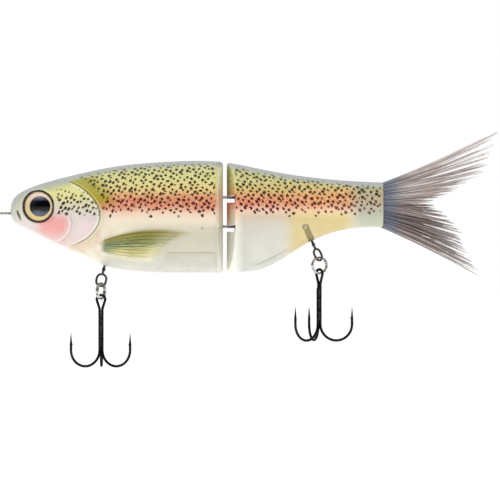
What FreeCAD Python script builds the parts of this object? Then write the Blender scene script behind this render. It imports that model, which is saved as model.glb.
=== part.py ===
import FreeCAD, Part
import math
import os

# A two-piece gliding swimbait with a brush tail, in millimetres.
# Origin: centre of the line tie's eye, at the nose. +X runs to the tail, +Z to the back, and the
# bait's left flank faces -Y. Each hard section is two shells that meet on the plane Y = 0.

V = FreeCAD.Vector
X_AXIS = V(1, 0, 0)
Y_AXIS = V(0, 1, 0)
Z_AXIS = V(0, 0, 1)

# ---------------------------------------------------------------- driving dimensions
NOSE_X = 2.0                 # front of the head
FRONT_END_X = 79.8           # rear face of the front section
REAR_START_X = 81.1          # flat tip of the rear section's wedge
REAR_END_X = 138.6           # end of the tail stalk
TAIL_TIP_X = 182.0           # longest fibres: 180 mm from the nose
WALL = 1.8                   # shell wall
FIT = 0.04                   # clearance of a moulded-in part in its pocket

# Outlines as (x, z) for the back and belly, and (x, half width) for the plan view.
BACK = [(2.0, 1.2), (2.9, 4.9), (5.2, 7.3), (9.5, 9.5), (18.3, 12.3), (29.3, 15.0), (42.5, 17.5),
        (55.7, 18.7), (70.0, 19.3), (80.0, 18.8), (84.0, 18.2), (97.5, 15.5), (115.0, 12.9),
        (128.0, 11.8), (140.0, 11.3)]
BELLY = [(2.0, -0.4), (2.9, -2.6), (5.2, -4.3), (9.5, -6.5), (18.3, -10.9), (29.3, -16.0),
         (36.0, -19.0), (42.5, -20.5), (55.7, -21.5), (70.0, -21.7), (86.0, -21.4), (93.1, -20.6),
         (99.7, -17.7), (108.5, -12.2), (117.3, -7.9), (128.3, -5.4), (140.0, -5.1)]
PLAN = [(2.0, 1.4), (2.9, 3.4), (5.2, 5.0), (9.5, 6.9), (18.3, 8.9), (29.3, 10.2), (45.0, 10.8),
        (60.0, 10.7), (80.0, 9.9), (97.5, 8.6), (115.0, 6.5), (128.0, 4.9), (140.0, 4.0)]
FLANK_POWER = 2.5            # superellipse power of a cross-section: slab sides, round back
WIDEST_SHARE = 0.54          # height of the widest level, as a share of the section's height
SECTION_POINTS = 13          # points along half a cross-section

PIN_X = 84.9                 # body joint
PIN_R = 0.8
PIN_BOTTOM_Z = -18.9
PIN_TOP_Z = 9.6
FRONT_BEVEL_BACK = 2.2       # bevel on the front section's rear edge: along X,
FRONT_BEVEL_Y = (5.5, 10.6)  # and from and to these half widths
WEDGE_HALF_FLAT = 2.2        # half width of the wedge's flat tip
WEDGE_SIDE_X = 84.5          # where the wedge's bevel meets the flank
SLOT_THROUGH_X = 84.4        # the slots are open from side to side up to here
HINGE_WIRE_R = 0.5
HINGE_RUN_CLEARANCE = 0.06   # hinge loop on its pin
HINGE_Z = {"upper": 5.85, "lower": -4.85}
SLOT_ABOVE = 0.65            # slot height above and below the wire's centre line
SLOT_BELOW = 1.95
SLOT_POCKET_R = 2.2
HINGE_ANCHOR_X = 72.6
ANCHOR_LOOP_R = 1.1

TIE_LOOP_R = 1.75            # centre line of the line tie's eye
TIE_WIRE_R = 0.45
TIE_ANCHOR_X = 22.5

EYE_X, EYE_Z = 12.65, 2.55
EYE_R = 5.9
EYE_TOE_IN = 13.0            # degrees that an eye looks forward
EYE_SEAT_Y = 6.1             # depth plane of the socket's floor
EYE_COLLAR_R = 6.45
EYE_COLLAR_RISE = 1.15
IRIS_R, IRIS_T = 5.35, 0.35
PUPIL_R, PUPIL_T = 3.75, 0.15
PUPIL_SHIFT = 0.55           # pupil set back from the eye's centre
EYE_RING_T = 1.35
LENS_RISE = 1.5

GILL = [(24.2, 11.6), (29.2, 8.9), (33.2, 4.9), (35.2, 0.8), (34.2, -3.4), (31.2, -7.4), (27.0, -11.0),
        (22.4, -12.2)]
GILL_FRONT_X = 8.0
GILL_RAISE = 0.35
FIN = [(36.6, -9.8), (48.0, -7.2), (60.0, -6.4), (71.0, -7.6), (64.0, -10.2), (61.0, -13.2),
       (50.0, -18.0), (37.4, -15.8)]
FIN_RAISE = 0.45

FRONT_HANGER = {"x": 36.4, "z": -19.3, "lean": -13.0, "turn": 0.0}
REAR_HANGER = {"x": 112.5, "z": -10.3, "lean": 24.0, "turn": -48.0}
FRONT_RING_TURN = 64.0       # plane of the split ring, in degrees from the XZ plane
REAR_RING_TURN = 26.0
FRONT_TREBLE_TURN = 0.0      # plane of the treble's eye, the same way
REAR_TREBLE_TURN = 136.0

ROTOR_WIRE_R = 0.4
ROTOR_LOOP_R = 1.75
ROTOR_LOOP_STRETCH = 0.9     # straight run between the two halves of the oval loop
ROTOR_DROP = 4.8             # from the belly to the centre of the loop's upper half
BARREL_R = 1.2
BARREL_BORE_R = 0.85
BARREL_LENGTH = 4.4
BARREL_INSET = 0.3
NECK_R = 0.45
NECK_CLEARANCE = 0.07
NECK_TOP_Z = 1.5             # above the belly, inside the rotor's head
HEAD_BOTTOM_Z, HEAD_TOP_Z = 1.1, 2.0
BORE_BOTTOM_Z, BORE_TOP_Z = 1.0, 2.6
BEAD_R, BEAD_Z = 0.68, -1.25
BARREL_LOOP_R = 1.0
BARREL_LOOP_WIRE_R = 0.38
HANGER_PIN_R = 0.5
HANGER_PIN_HALF_LENGTH = 2.6

RING_R = 2.9                 # split ring's centre line
RING_WIRE_R = 0.33
RING_COIL_HALF_PITCH = 0.32
LINK_GAP = 0.34              # air between linked wires
TREBLE_GAP = 0.62

HOOK_WIRE_R = 0.48
HOOK_SHANK_HALF_GAP = 0.5
HOOK_LOOP_HALF_WIDTH = 2.1
HOOK_JUNCTION_Z = -3.7       # below the treble's pivot
HOOK_JUNCTION_R = 3.0
HOOK_BEND_R = 5.95
HOOK_BOTTOM_Z = -24.6
HOOK_SPEAR_TOP_Z = -16.7
HOOK_POINT_LENGTH = 4.4
HOOK_TIP_R = 0.05
HOOK_ARM_ANGLE = 30.0        # each arm of the double leans out of the eye's plane
SINGLE_SHANK_Y = 0.88
SINGLE_TOP_Z = -5.4
BRAZE_R = 0.72               # the three shanks are cut out of this rod
BRAZE_TOP_Z = -5.7
BRAZE_BOTTOM_Z = -17.0
BARB_R, BARB_LENGTH = 0.26, 1.1
BARB_LEAN = 28.0

TAIL_ROOT_X = 139.6          # the brush flexes about a vertical line here
TAIL_HALF_THICK = 1.5
TAIL_UPPER = [(TAIL_ROOT_X, 3.2), (TAIL_ROOT_X, 11.0), (180.2, 30.2), (TAIL_TIP_X, 22.0),
              (169.0, 9.6), (156.2, 4.6)]
TAIL_LOWER = [(TAIL_ROOT_X, 3.0), (156.0, 4.2), (170.0, -8.0), (171.5, -17.5), (176.8, -24.6),
              (174.6, -24.2), (TAIL_ROOT_X, -5.0)]
CLAMP_FRONT_X, CLAMP_BACK_X = 129.6, 138.3
CLAMP_HALF_WIDTH = 1.9
CLAMP_BOTTOM_Z, CLAMP_TOP_Z = -3.9, 9.9

BEYOND = 40.0                # reach of cutting tools that pass right through the bait
FRONT_CHAMBER = {"x": (27.0, 66.0), "z": (-11.0, 30.0)}
REAR_CHAMBERS = [{"x": (89.4, 103.5), "z": (-12.5, 30.0)}, {"x": (103.5, 127.5), "z": (1.0, 30.0)}]

FRONT_BALLAST = {"x": (58.5, 78.0), "z": (-19.5, -14.4), "half_width": 3.3}
BALLAST_HOLE_R = 1.2
BALLAST_HOLE_X, BALLAST_HOLE_Z = 73.3, -16.9
REAR_BALLAST = [(89.4, -19.0), (102.6, -13.3), (100.6, -15.3), (96.4, -18.0), (91.2, -19.3)]
REAR_BALLAST_HALF_WIDTH = 2.4


# ---------------------------------------------------------------- small helpers
def save(shape, name):
    """Writes one node, and prints its solids, validity and volume."""
    shape.exportStep(os.path.join("parts", name + ".step"))
    print(f"{name:24s} solids {len(shape.Solids)} valid {shape.isValid()} volume {shape.Volume:.1f}")


def curve_through(points):
    """A smooth curve in the XZ plane through (x, z) points."""
    curve = Part.BSplineCurve()
    curve.interpolate([V(x, 0, z) for x, z in points])
    return curve


def height_at(curve, x):
    """z of a curve from curve_through at x, by bisection: x grows along the curve."""
    low, high = curve.FirstParameter, curve.LastParameter
    for _ in range(50):
        middle = (low + high) / 2
        if curve.value(middle).x < x:
            low = middle
        else:
            high = middle
    return curve.value(low).z


BACK_CURVE = curve_through(BACK)
BELLY_CURVE = curve_through(BELLY)
PLAN_CURVE = curve_through(PLAN)


def half_section(x, grow):
    """The left half of a cross-section at x, grown outwards by grow: a flank curve and a line on Y = 0."""
    top = height_at(BACK_CURVE, x) + grow
    bottom = height_at(BELLY_CURVE, x) - grow
    half_width = height_at(PLAN_CURVE, x) + grow
    widest = bottom + WIDEST_SHARE * (top - bottom)
    points = []
    for i in range(SECTION_POINTS):
        angle = math.pi / 2 - math.pi * i / (SECTION_POINTS - 1)
        across, up = math.cos(angle), math.sin(angle)
        reach = top - widest if up >= 0 else widest - bottom
        y = -half_width * max(across, 0.0) ** (2 / FLANK_POWER)
        z = widest + math.copysign(reach * abs(up) ** (2 / FLANK_POWER), up)
        points.append(V(x, y, z))
    points[0].y = 0.0
    points[-1].y = 0.0
    even = [i / (SECTION_POINTS - 1) for i in range(SECTION_POINTS)]
    curve = Part.BSplineCurve()
    curve.interpolate(Points=points, Parameters=even)
    closing = Part.LineSegment(points[-1], points[0])
    return Part.Wire([curve.toShape(), closing.toShape()])


def body_half(x_from, x_to, grow=0.0):
    """The left half of the body between two stations, as a solid; stations crowd at the nose."""
    nose = [2.0, 2.35, 2.9, 3.8, 5.2, 7.2, 9.5, 13.5, 18.3, 24.0]
    along = nose + [30.0 + 6.5 * i for i in range(18)]
    inside = [x for x in along if x_from + 1.0 < x < x_to - 1.0 or (x < 9 and x_from < x < x_to)]
    stations = [x_from] + inside + [x_to]
    return Part.makeLoft([half_section(x, grow) for x in stations], True, False)


def block(x, y, z):
    """A box from three (low, high) pairs."""
    return Part.makeBox(x[1] - x[0], y[1] - y[0], z[1] - z[0], V(x[0], y[0], z[0]))


def prism_along_y(points, y_from, y_to):
    """A prism of an (x, z) polygon."""
    corners = [V(x, y_from, z) for x, z in points]
    face = Part.Face(Part.makePolygon(corners + corners[:1]))
    return face.extrude(V(0, y_to - y_from, 0))


def prism_along_z(points):
    """A tall prism of an (x, y) polygon that passes right through the bait."""
    corners = [V(x, y, -BEYOND) for x, y in points]
    return Part.Face(Part.makePolygon(corners + corners[:1])).extrude(V(0, 0, 2 * BEYOND))


def smooth_prism_along_y(points, y_from, y_to):
    """A prism whose (x, z) outline is a closed smooth curve."""
    curve = Part.BSplineCurve()
    curve.interpolate(Points=[V(x, y_from, z) for x, z in points], PeriodicFlag=True)
    return Part.Face(Part.Wire(curve.toShape())).extrude(V(0, y_to - y_from, 0))


def mirrored(shape):
    """The right-hand twin of a left-hand piece."""
    return shape.mirror(V(0, 0, 0), Y_AXIS)


def rounded_path(points, radii):
    """A wire of straight runs joined by tangent arcs; radii holds one radius per inner point."""
    edges = []
    here = points[0]
    for before, corner, after, radius in zip(points, points[1:], points[2:], radii):
        inward = (corner - before).normalize()
        outward = (after - corner).normalize()
        half_turn = inward.getAngle(outward) / 2
        cut = radius * math.tan(half_turn)
        start = corner - inward * cut
        end = corner + outward * cut
        bulge = (outward - inward).normalize()
        middle = corner + bulge * (radius / math.cos(half_turn) - radius)
        if (start - here).Length > 1e-4:
            edges.append(Part.LineSegment(here, start).toShape())
        edges.append(Part.Arc(start, middle, end).toShape())
        here = end
    if (points[-1] - here).Length > 1e-4:
        edges.append(Part.LineSegment(here, points[-1]).toShape())
    return Part.Wire(edges)


def wire_along(path, radius, start, direction):
    """A round wire swept along a path that starts at start and heads in direction."""
    profile = Part.Wire(Part.makeCircle(radius, start, direction))
    return path.makePipeShell([profile], True, True)


def rod(radius, start, end):
    """A round rod between two points."""
    return Part.makeCylinder(radius, (end - start).Length, start, end - start)


def turned(shape, pivot, axis, degrees):
    """A copy of a shape, turned about an axis through pivot."""
    copy = shape.copy()
    copy.rotate(pivot, axis, degrees)
    return copy


# ---------------------------------------------------------------- hardware inside the sections
def eyed_wire(loop_centre, loop_r, anchor_centre, anchor_r, wire_r, extra=0.0):
    """A wire along X with a flat loop at each end; extra thickens it, to cut its pocket."""
    loop = Part.makeTorus(loop_r, wire_r + extra, loop_centre, Z_AXIS)
    anchor = Part.makeTorus(anchor_r, wire_r + extra, anchor_centre, Z_AXIS)
    toward = (anchor_centre - loop_centre).normalize()
    shank = rod(wire_r + extra, loop_centre + toward * loop_r, anchor_centre - toward * anchor_r)
    return loop.fuse([shank, anchor]).removeSplitter()


def line_tie(extra=0.0):
    """The nose wire: the eye at the origin, and its anchor loop behind the eyes."""
    return eyed_wire(V(0, 0, 0), TIE_LOOP_R, V(TIE_ANCHOR_X, 0, 0), TIE_LOOP_R, TIE_WIRE_R, extra)


def hinge_wire(name, extra=0.0):
    """One of the two wires of the body joint: a loop round the pin and an anchor loop."""
    z = HINGE_Z[name]
    loop_r = PIN_R + HINGE_RUN_CLEARANCE + HINGE_WIRE_R
    return eyed_wire(V(PIN_X, 0, z), loop_r, V(HINGE_ANCHOR_X, 0, z), ANCHOR_LOOP_R, HINGE_WIRE_R, extra)


def hinge_pin(extra=0.0):
    """The pin of the body joint."""
    return rod(PIN_R + extra, V(PIN_X, 0, PIN_BOTTOM_Z - extra), V(PIN_X, 0, PIN_TOP_Z + extra))


def front_ballast():
    """The belly weight, bored for the post that locates it."""
    half = FRONT_BALLAST["half_width"]
    weight = block(FRONT_BALLAST["x"], (-half, half), FRONT_BALLAST["z"])
    long_edges = [e for e in weight.Edges if abs(e.tangentAt(e.FirstParameter).x) > 0.9]
    weight = weight.makeFillet(0.9, long_edges)
    return weight.cut(rod(BALLAST_HOLE_R, V(BALLAST_HOLE_X, -half, BALLAST_HOLE_Z),
                          V(BALLAST_HOLE_X, half, BALLAST_HOLE_Z)))


def rear_ballast():
    """The thin wedge of weight along the rear belly."""
    return prism_along_y(REAR_BALLAST, -REAR_BALLAST_HALF_WIDTH, REAR_BALLAST_HALF_WIDTH)


# ---------------------------------------------------------------- swivel hangers
def hanger_place(shape, hanger):
    """Moves a piece from the hanger's own frame, where it hangs down -Z from the origin."""
    placed = turned(shape, V(0, 0, 0), Z_AXIS, hanger["turn"])
    placed.rotate(V(0, 0, 0), Y_AXIS, -hanger["lean"])
    placed.translate(V(hanger["x"], 0, hanger["z"]))
    return placed


def swivel_rotor(hanger):
    """The turning half of a swivel: head, neck, bead and loop."""
    head = rod(BARREL_BORE_R - NECK_CLEARANCE, V(0, 0, HEAD_BOTTOM_Z), V(0, 0, HEAD_TOP_Z))
    neck = rod(NECK_R, V(0, 0, NECK_TOP_Z), V(0, 0, ROTOR_LOOP_R - ROTOR_DROP))
    bead = Part.makeSphere(BEAD_R, V(0, 0, BEAD_Z))
    upper, lower = V(0, 0, -ROTOR_DROP), V(0, 0, -ROTOR_DROP - ROTOR_LOOP_STRETCH)
    left, right = X_AXIS * -ROTOR_LOOP_R, X_AXIS * ROTOR_LOOP_R
    crown, foot = Z_AXIS * ROTOR_LOOP_R, Z_AXIS * -ROTOR_LOOP_R
    oval = Part.Wire([Part.Arc(upper + left, upper + crown, upper + right).toShape(),
                      Part.LineSegment(upper + right, lower + right).toShape(),
                      Part.Arc(lower + right, lower + foot, lower + left).toShape(),
                      Part.LineSegment(lower + left, upper + left).toShape()])
    loop = wire_along(oval, ROTOR_WIRE_R, upper + left, Z_AXIS)
    return hanger_place(head.fuse([neck, bead, loop]).removeSplitter(), hanger)


def swivel_barrel(hanger):
    """The fixed half: a bored barrel with a loop on top for its pin."""
    top = BARREL_INSET + BARREL_LENGTH
    body = rod(BARREL_R, V(0, 0, BARREL_INSET), V(0, 0, top))
    bore = rod(BARREL_BORE_R, V(0, 0, BORE_BOTTOM_Z), V(0, 0, BORE_TOP_Z))
    mouth = rod(NECK_R + NECK_CLEARANCE, V(0, 0, 0), V(0, 0, NECK_TOP_Z))
    loop = Part.makeTorus(BARREL_LOOP_R, BARREL_LOOP_WIRE_R, V(0, 0, top + BARREL_LOOP_R), Y_AXIS)
    return hanger_place(body.cut(bore.fuse(mouth)).fuse(loop), {**hanger, "turn": 0.0})


def hanger_pin(hanger, extra=0.0):
    """The cross pin through the barrel's loop, held by both shells."""
    height = BARREL_INSET + BARREL_LENGTH + BARREL_LOOP_R
    reach = HANGER_PIN_HALF_LENGTH + extra
    pin = rod(HANGER_PIN_R + extra, V(0, -reach, height), V(0, reach, height))
    return hanger_place(pin, {**hanger, "turn": 0.0})


def hanger_pocket(hanger):
    """What the shells leave free for one swivel: barrel, loop and mouth."""
    top = BARREL_INSET + BARREL_LENGTH
    barrel = rod(BARREL_R + FIT, V(0, 0, BARREL_INSET - FIT), V(0, 0, top + FIT))
    mouth = rod(NECK_R + NECK_CLEARANCE + FIT, V(0, 0, -2), V(0, 0, BARREL_INSET + 0.1))
    reach = BARREL_LOOP_R + BARREL_LOOP_WIRE_R + FIT
    slot = rod(reach, V(0, -BARREL_LOOP_WIRE_R - FIT, top + BARREL_LOOP_R),
               V(0, BARREL_LOOP_WIRE_R + FIT, top + BARREL_LOOP_R))
    pocket = hanger_place(barrel.fuse([mouth, slot]), {**hanger, "turn": 0.0})
    return pocket.fuse(hanger_pin(hanger, FIT))


# ---------------------------------------------------------------- split rings and treble hooks
def hanging_points(hanger):
    """Where a hook chain turns: the rotor loop's lowest point, the ring's centre and the ring's foot."""
    lean, turn = math.radians(hanger["lean"]), math.radians(hanger["turn"])
    down = V(math.sin(lean), 0, -math.cos(lean))
    side = V(math.cos(lean), 0, math.sin(lean))
    normal = Y_AXIS * math.cos(turn) - side * math.sin(turn)
    centre = V(hanger["x"], 0, hanger["z"]) + down * (ROTOR_DROP + ROTOR_LOOP_STRETCH)
    fall = V(0, 0, -1) + normal * normal.z
    lowest = centre + fall.normalize() * ROTOR_LOOP_R
    ring_centre = lowest + Z_AXIS * (ROTOR_WIRE_R + RING_WIRE_R + LINK_GAP - RING_R)
    foot = ring_centre - Z_AXIS * RING_R
    return lowest, ring_centre, foot


def split_ring(centre, turn):
    """Two turns of spring wire side by side."""
    coils = [Part.makeTorus(RING_R, RING_WIRE_R, V(0, y, 0), Y_AXIS)
             for y in (-RING_COIL_HALF_PITCH, RING_COIL_HALF_PITCH)]
    ring = coils[0].fuse(coils[1])
    ring.rotate(V(0, 0, 0), Z_AXIS, turn)
    ring.translate(centre)
    return ring


def hook_point(foot_point, inward):
    """A tapered point on top of a spear, with its barb on the side that faces the shank."""
    point = Part.makeCone(HOOK_WIRE_R, HOOK_TIP_R, HOOK_POINT_LENGTH, foot_point, Z_AXIS)
    root = foot_point + inward * (HOOK_WIRE_R * 0.35) + Z_AXIS * 0.9
    lean = math.radians(BARB_LEAN)
    heading = inward * math.sin(lean) - Z_AXIS * math.cos(lean)
    barb = Part.makeCone(BARB_R, HOOK_TIP_R, BARB_LENGTH, root, heading)
    return point.fuse(barb)


def treble_double():
    """One wire: spear, bend, shank, eye, shank, bend and spear, in the frame of the treble's pivot."""
    eye_top = HOOK_WIRE_R + TREBLE_GAP + RING_WIRE_R
    angle = math.radians(HOOK_ARM_ANGLE)
    runs = []
    for side in (-1, 1):
        outward = V(side * math.cos(angle), -math.sin(angle), 0)
        shank = V(side * HOOK_SHANK_HALF_GAP, 0, 0)
        spear = shank + outward * (2 * HOOK_BEND_R)
        runs.append([spear + Z_AXIS * HOOK_SPEAR_TOP_Z, spear + Z_AXIS * HOOK_BOTTOM_Z,
                     shank + Z_AXIS * HOOK_BOTTOM_Z, shank + Z_AXIS * HOOK_JUNCTION_Z])
    crown = [V(-HOOK_LOOP_HALF_WIDTH, 0, eye_top), V(HOOK_LOOP_HALF_WIDTH, 0, eye_top)]
    points = runs[0] + crown + runs[1][::-1]
    lean = math.atan2(HOOK_LOOP_HALF_WIDTH - HOOK_SHANK_HALF_GAP, eye_top - HOOK_JUNCTION_Z)
    crown_r = HOOK_LOOP_HALF_WIDTH / math.tan((math.pi / 2 + lean) / 2)
    side_radii = [HOOK_BEND_R, HOOK_BEND_R, HOOK_JUNCTION_R]
    path = rounded_path(points, side_radii + [crown_r, crown_r] + side_radii[::-1])
    wire = wire_along(path, HOOK_WIRE_R, points[0], V(0, 0, -1))
    tips = [hook_point(run[0], (run[2] - run[1]).normalize()) for run in runs]
    return wire.fuse(tips)


def treble_single():
    """The third hook, brazed into the groove of the double."""
    shank = V(0, SINGLE_SHANK_Y, 0)
    spear = shank + Y_AXIS * (2 * HOOK_BEND_R)
    points = [shank + Z_AXIS * SINGLE_TOP_Z, shank + Z_AXIS * HOOK_BOTTOM_Z,
              spear + Z_AXIS * HOOK_BOTTOM_Z, spear + Z_AXIS * HOOK_SPEAR_TOP_Z]
    wire = wire_along(rounded_path(points, [HOOK_BEND_R] * 2), HOOK_WIRE_R, points[0], V(0, 0, -1))
    return wire.fuse(hook_point(points[3], V(0, -1, 0)))


def treble_braze(wires):
    """The braze that fills the grooves between the three shanks."""
    y = SINGLE_SHANK_Y / 3
    return rod(BRAZE_R, V(0, y, BRAZE_BOTTOM_Z), V(0, y, BRAZE_TOP_Z)).cut(wires)


def build_hook_chain(prefix, hanger, ring_turn, treble_turn):
    """Everything from the swivel down to the hook points of one station."""
    lowest, ring_centre, foot = hanging_points(hanger)
    save(hanger_pin(hanger), prefix + "_hanger_pin")
    save(swivel_barrel(hanger), prefix + "_swivel_barrel")
    save(swivel_rotor(hanger), prefix + "_swivel_eye")
    save(split_ring(ring_centre, ring_turn), prefix + "_split_ring")
    double, single = treble_double(), treble_single()
    pieces = {"double": double, "single": single, "braze": treble_braze([double, single])}
    for name, piece in pieces.items():
        piece = turned(piece, V(0, 0, 0), Z_AXIS, treble_turn)
        piece.translate(foot)
        save(piece, f"{prefix}_treble_{name}")
    print(f"{prefix}: ring pivot {lowest}, treble pivot {foot}")


# ---------------------------------------------------------------- eyes
def eye_place(shape):
    """Moves a piece from the eye's own frame (outwards is -Y from the socket's floor) to the left eye."""
    placed = turned(shape, V(0, 0, 0), Z_AXIS, -EYE_TOE_IN)
    placed.translate(V(EYE_X, -EYE_SEAT_Y, EYE_Z))
    return placed


def disc(radius, depth_from, depth_to):
    """A round disc about the eye's axis, between two distances from the socket's floor."""
    return rod(radius, V(0, -depth_from, 0), V(0, -depth_to, 0))


def eye_pieces():
    """The pieces of one eye, from the socket's floor outwards."""
    ring = disc(EYE_R, 0, EYE_RING_T).cut(disc(IRIS_R, 0, EYE_RING_T))
    iris = disc(IRIS_R - FIT, 0, IRIS_T)
    pupil = disc(PUPIL_R, IRIS_T, IRIS_T + PUPIL_T)
    pupil.translate(V(PUPIL_SHIFT, 0, 0))
    lens_r = IRIS_R - FIT
    edge = EYE_RING_T - 0.15
    ball_r = (lens_r ** 2 + LENS_RISE ** 2) / (2 * LENS_RISE)
    dome = Part.makeSphere(ball_r, V(0, ball_r - edge - LENS_RISE, 0)).common(disc(lens_r, IRIS_T, 9))
    lens = dome.cut(pupil)
    return {"eye_ring": ring, "eye_iris": iris, "eye_pupil": pupil, "eye_lens": lens}


# ---------------------------------------------------------------- shells
def left_side(shape):
    """What lies on the left of the plane Y = 0."""
    return shape.common(block((NOSE_X - BEYOND, REAR_END_X + BEYOND), (-BEYOND, 0), (-BEYOND, BEYOND)))


def front_bevel():
    """The corner taken off the front section's rear edge, so that the rear section can swing."""
    start, end = FRONT_BEVEL_Y
    plan = [(FRONT_END_X, -start), (FRONT_END_X - FRONT_BEVEL_BACK, -end), (FRONT_END_X, -end)]
    return prism_along_z(plan)


def front_shell():
    """Left shell of the front section: head, gill plate, fin relief, chambers and pockets."""
    shell = body_half(NOSE_X, FRONT_END_X).cut(front_bevel())
    gill = [(x, z) for x, z in GILL] + [(GILL_FRONT_X, -6.2), (GILL_FRONT_X, 8.4)]
    plate = body_half(NOSE_X, FRONT_END_X, GILL_RAISE).common(prism_along_y(gill, -14, -2.5))
    fin = body_half(NOSE_X, FRONT_END_X, FIN_RAISE).common(smooth_prism_along_y(FIN, -14, -4))
    shell = shell.fuse([plate, fin])
    shell = shell.fuse(eye_place(disc(EYE_COLLAR_R, -2.0, EYE_COLLAR_RISE)))
    shell = shell.cut(eye_place(disc(EYE_R + FIT, 0, 8)))
    inside = body_half(26.0, 78.0, -WALL)
    chamber = inside.common(block(FRONT_CHAMBER["x"], (-BEYOND, 0), FRONT_CHAMBER["z"]))
    half = FRONT_BALLAST["half_width"] + FIT
    low, high = FRONT_BALLAST["z"]
    pocket = block((FRONT_BALLAST["x"][0] - FIT, FRONT_BALLAST["x"][1] + FIT), (-half, 0),
                   (low - FIT, high + FIT))
    post = rod(BALLAST_HOLE_R - FIT, V(BALLAST_HOLE_X, -half - 1, BALLAST_HOLE_Z),
               V(BALLAST_HOLE_X, 0, BALLAST_HOLE_Z))
    tools = [chamber, pocket, line_tie(FIT), hanger_pocket(FRONT_HANGER)]
    tools += [hinge_wire(name, FIT) for name in HINGE_Z]
    return left_side(shell.cut(tools).fuse(post))


def rear_shell():
    """Left shell of the rear section: wedge nose with slots, chambers and the tail's socket."""
    shell = body_half(REAR_START_X - 0.4, REAR_END_X)
    flank = height_at(PLAN_CURVE, WEDGE_SIDE_X) + 0.5
    plan = [(REAR_START_X, 0), (REAR_START_X, -WEDGE_HALF_FLAT), (WEDGE_SIDE_X, -flank),
            (WEDGE_SIDE_X, -BEYOND), (REAR_END_X, -BEYOND), (REAR_END_X, 0)]
    shell = shell.common(prism_along_z(plan))
    slots = []
    for z in HINGE_Z.values():
        span = (z - SLOT_BELOW, z + SLOT_ABOVE)
        slots.append(block((REAR_START_X - 2, SLOT_THROUGH_X), (-BEYOND, 1), span))
        slots.append(rod(SLOT_POCKET_R, V(PIN_X, 0, span[0]), V(PIN_X, 0, span[1])))
    inside = body_half(88.0, 128.0, -WALL)
    chambers = [inside.common(block(room["x"], (-BEYOND, 0), room["z"])) for room in REAR_CHAMBERS]
    weight = prism_along_y(REAR_BALLAST, -REAR_BALLAST_HALF_WIDTH - FIT, 0)
    socket = block((CLAMP_FRONT_X - FIT, REAR_END_X + 1), (-CLAMP_HALF_WIDTH - FIT, 0),
                   (CLAMP_BOTTOM_Z - FIT, CLAMP_TOP_Z + FIT))
    tools = slots + chambers + [weight, socket, hinge_pin(FIT / 2), hanger_pocket(REAR_HANGER)]
    return left_side(shell.cut(tools))


# ---------------------------------------------------------------- tail
def tail_clamp():
    """The bar that grips the brush in the tail stalk."""
    return block((CLAMP_FRONT_X, CLAMP_BACK_X), (-CLAMP_HALF_WIDTH, CLAMP_HALF_WIDTH),
                 (CLAMP_BOTTOM_Z, CLAMP_TOP_Z))


def main():
    os.makedirs("parts", exist_ok=True)
    for section, shell in (("front", front_shell()), ("rear", rear_shell())):
        save(shell, section + "_shell_left")
        save(mirrored(shell), section + "_shell_right")
    save(line_tie(), "line_tie")
    for name in HINGE_Z:
        save(hinge_wire(name), f"hinge_wire_{name}")
    save(hinge_pin(), "hinge_pin")
    save(front_ballast(), "front_ballast")
    save(rear_ballast(), "rear_ballast")
    for name, piece in eye_pieces().items():
        placed = eye_place(piece)
        save(placed, name + "_left")
        save(mirrored(placed), name + "_right")
    build_hook_chain("front", FRONT_HANGER, FRONT_RING_TURN, FRONT_TREBLE_TURN)
    build_hook_chain("rear", REAR_HANGER, REAR_RING_TURN, REAR_TREBLE_TURN)
    save(tail_clamp(), "tail_clamp")
    save(prism_along_y(TAIL_UPPER, -TAIL_HALF_THICK, TAIL_HALF_THICK), "tail_brush_upper")
    save(prism_along_y(TAIL_LOWER, -TAIL_HALF_THICK, TAIL_HALF_THICK), "tail_brush_lower")


main()
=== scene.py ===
"""Looks of a two-section gliding swimbait: painted mouldings, domed eyes, fibre tail and bright hardware.

Sizes are in millimetres and are turned to metres where a mesh is made. The frame is the part's own:
origin at the line tie's eye, +X to the tail, +Z to the back, and the left flank faces -Y.
"""
import logging
import math
from collections.abc import Callable
from dataclasses import dataclass, field
from enum import Enum

import bpy
import numpy as np
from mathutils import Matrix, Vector


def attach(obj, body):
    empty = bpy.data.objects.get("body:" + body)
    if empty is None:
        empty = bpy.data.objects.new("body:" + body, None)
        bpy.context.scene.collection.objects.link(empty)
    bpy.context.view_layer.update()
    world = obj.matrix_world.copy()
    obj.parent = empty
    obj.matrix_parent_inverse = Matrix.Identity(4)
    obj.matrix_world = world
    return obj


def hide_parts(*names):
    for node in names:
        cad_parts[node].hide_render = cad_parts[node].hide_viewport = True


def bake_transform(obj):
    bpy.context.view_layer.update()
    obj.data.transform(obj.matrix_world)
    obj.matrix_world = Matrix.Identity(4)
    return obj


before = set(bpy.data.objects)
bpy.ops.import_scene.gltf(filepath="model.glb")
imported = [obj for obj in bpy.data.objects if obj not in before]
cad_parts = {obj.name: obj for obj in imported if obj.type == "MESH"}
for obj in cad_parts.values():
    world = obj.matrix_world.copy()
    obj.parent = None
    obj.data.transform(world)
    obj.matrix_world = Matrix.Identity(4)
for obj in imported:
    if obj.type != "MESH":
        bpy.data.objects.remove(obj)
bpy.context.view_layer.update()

LOG = logging.getLogger("swimbait")
MM = 0.001
LEFT = -1.0
RIGHT = 1.0
SIDES = {"left": LEFT, "right": RIGHT}
Colour = tuple[float, float, float]
Fibre = tuple[np.ndarray, np.ndarray, float, float]


# ---------------------------------------------------------------- small tools
def deselect() -> None:
    """Leaves nothing selected, so that an operator acts only on the piece in hand."""
    if bpy.context.object and bpy.context.object.mode != "OBJECT":
        bpy.ops.object.mode_set(mode="OBJECT")
    bpy.ops.object.select_all(action="DESELECT")


def choose(piece: bpy.types.Object) -> None:
    """Makes one piece the only selected and the active one.

    Args:
        piece: the object to work on.
    """
    deselect()
    piece.select_set(True)
    bpy.context.view_layer.objects.active = piece


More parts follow.
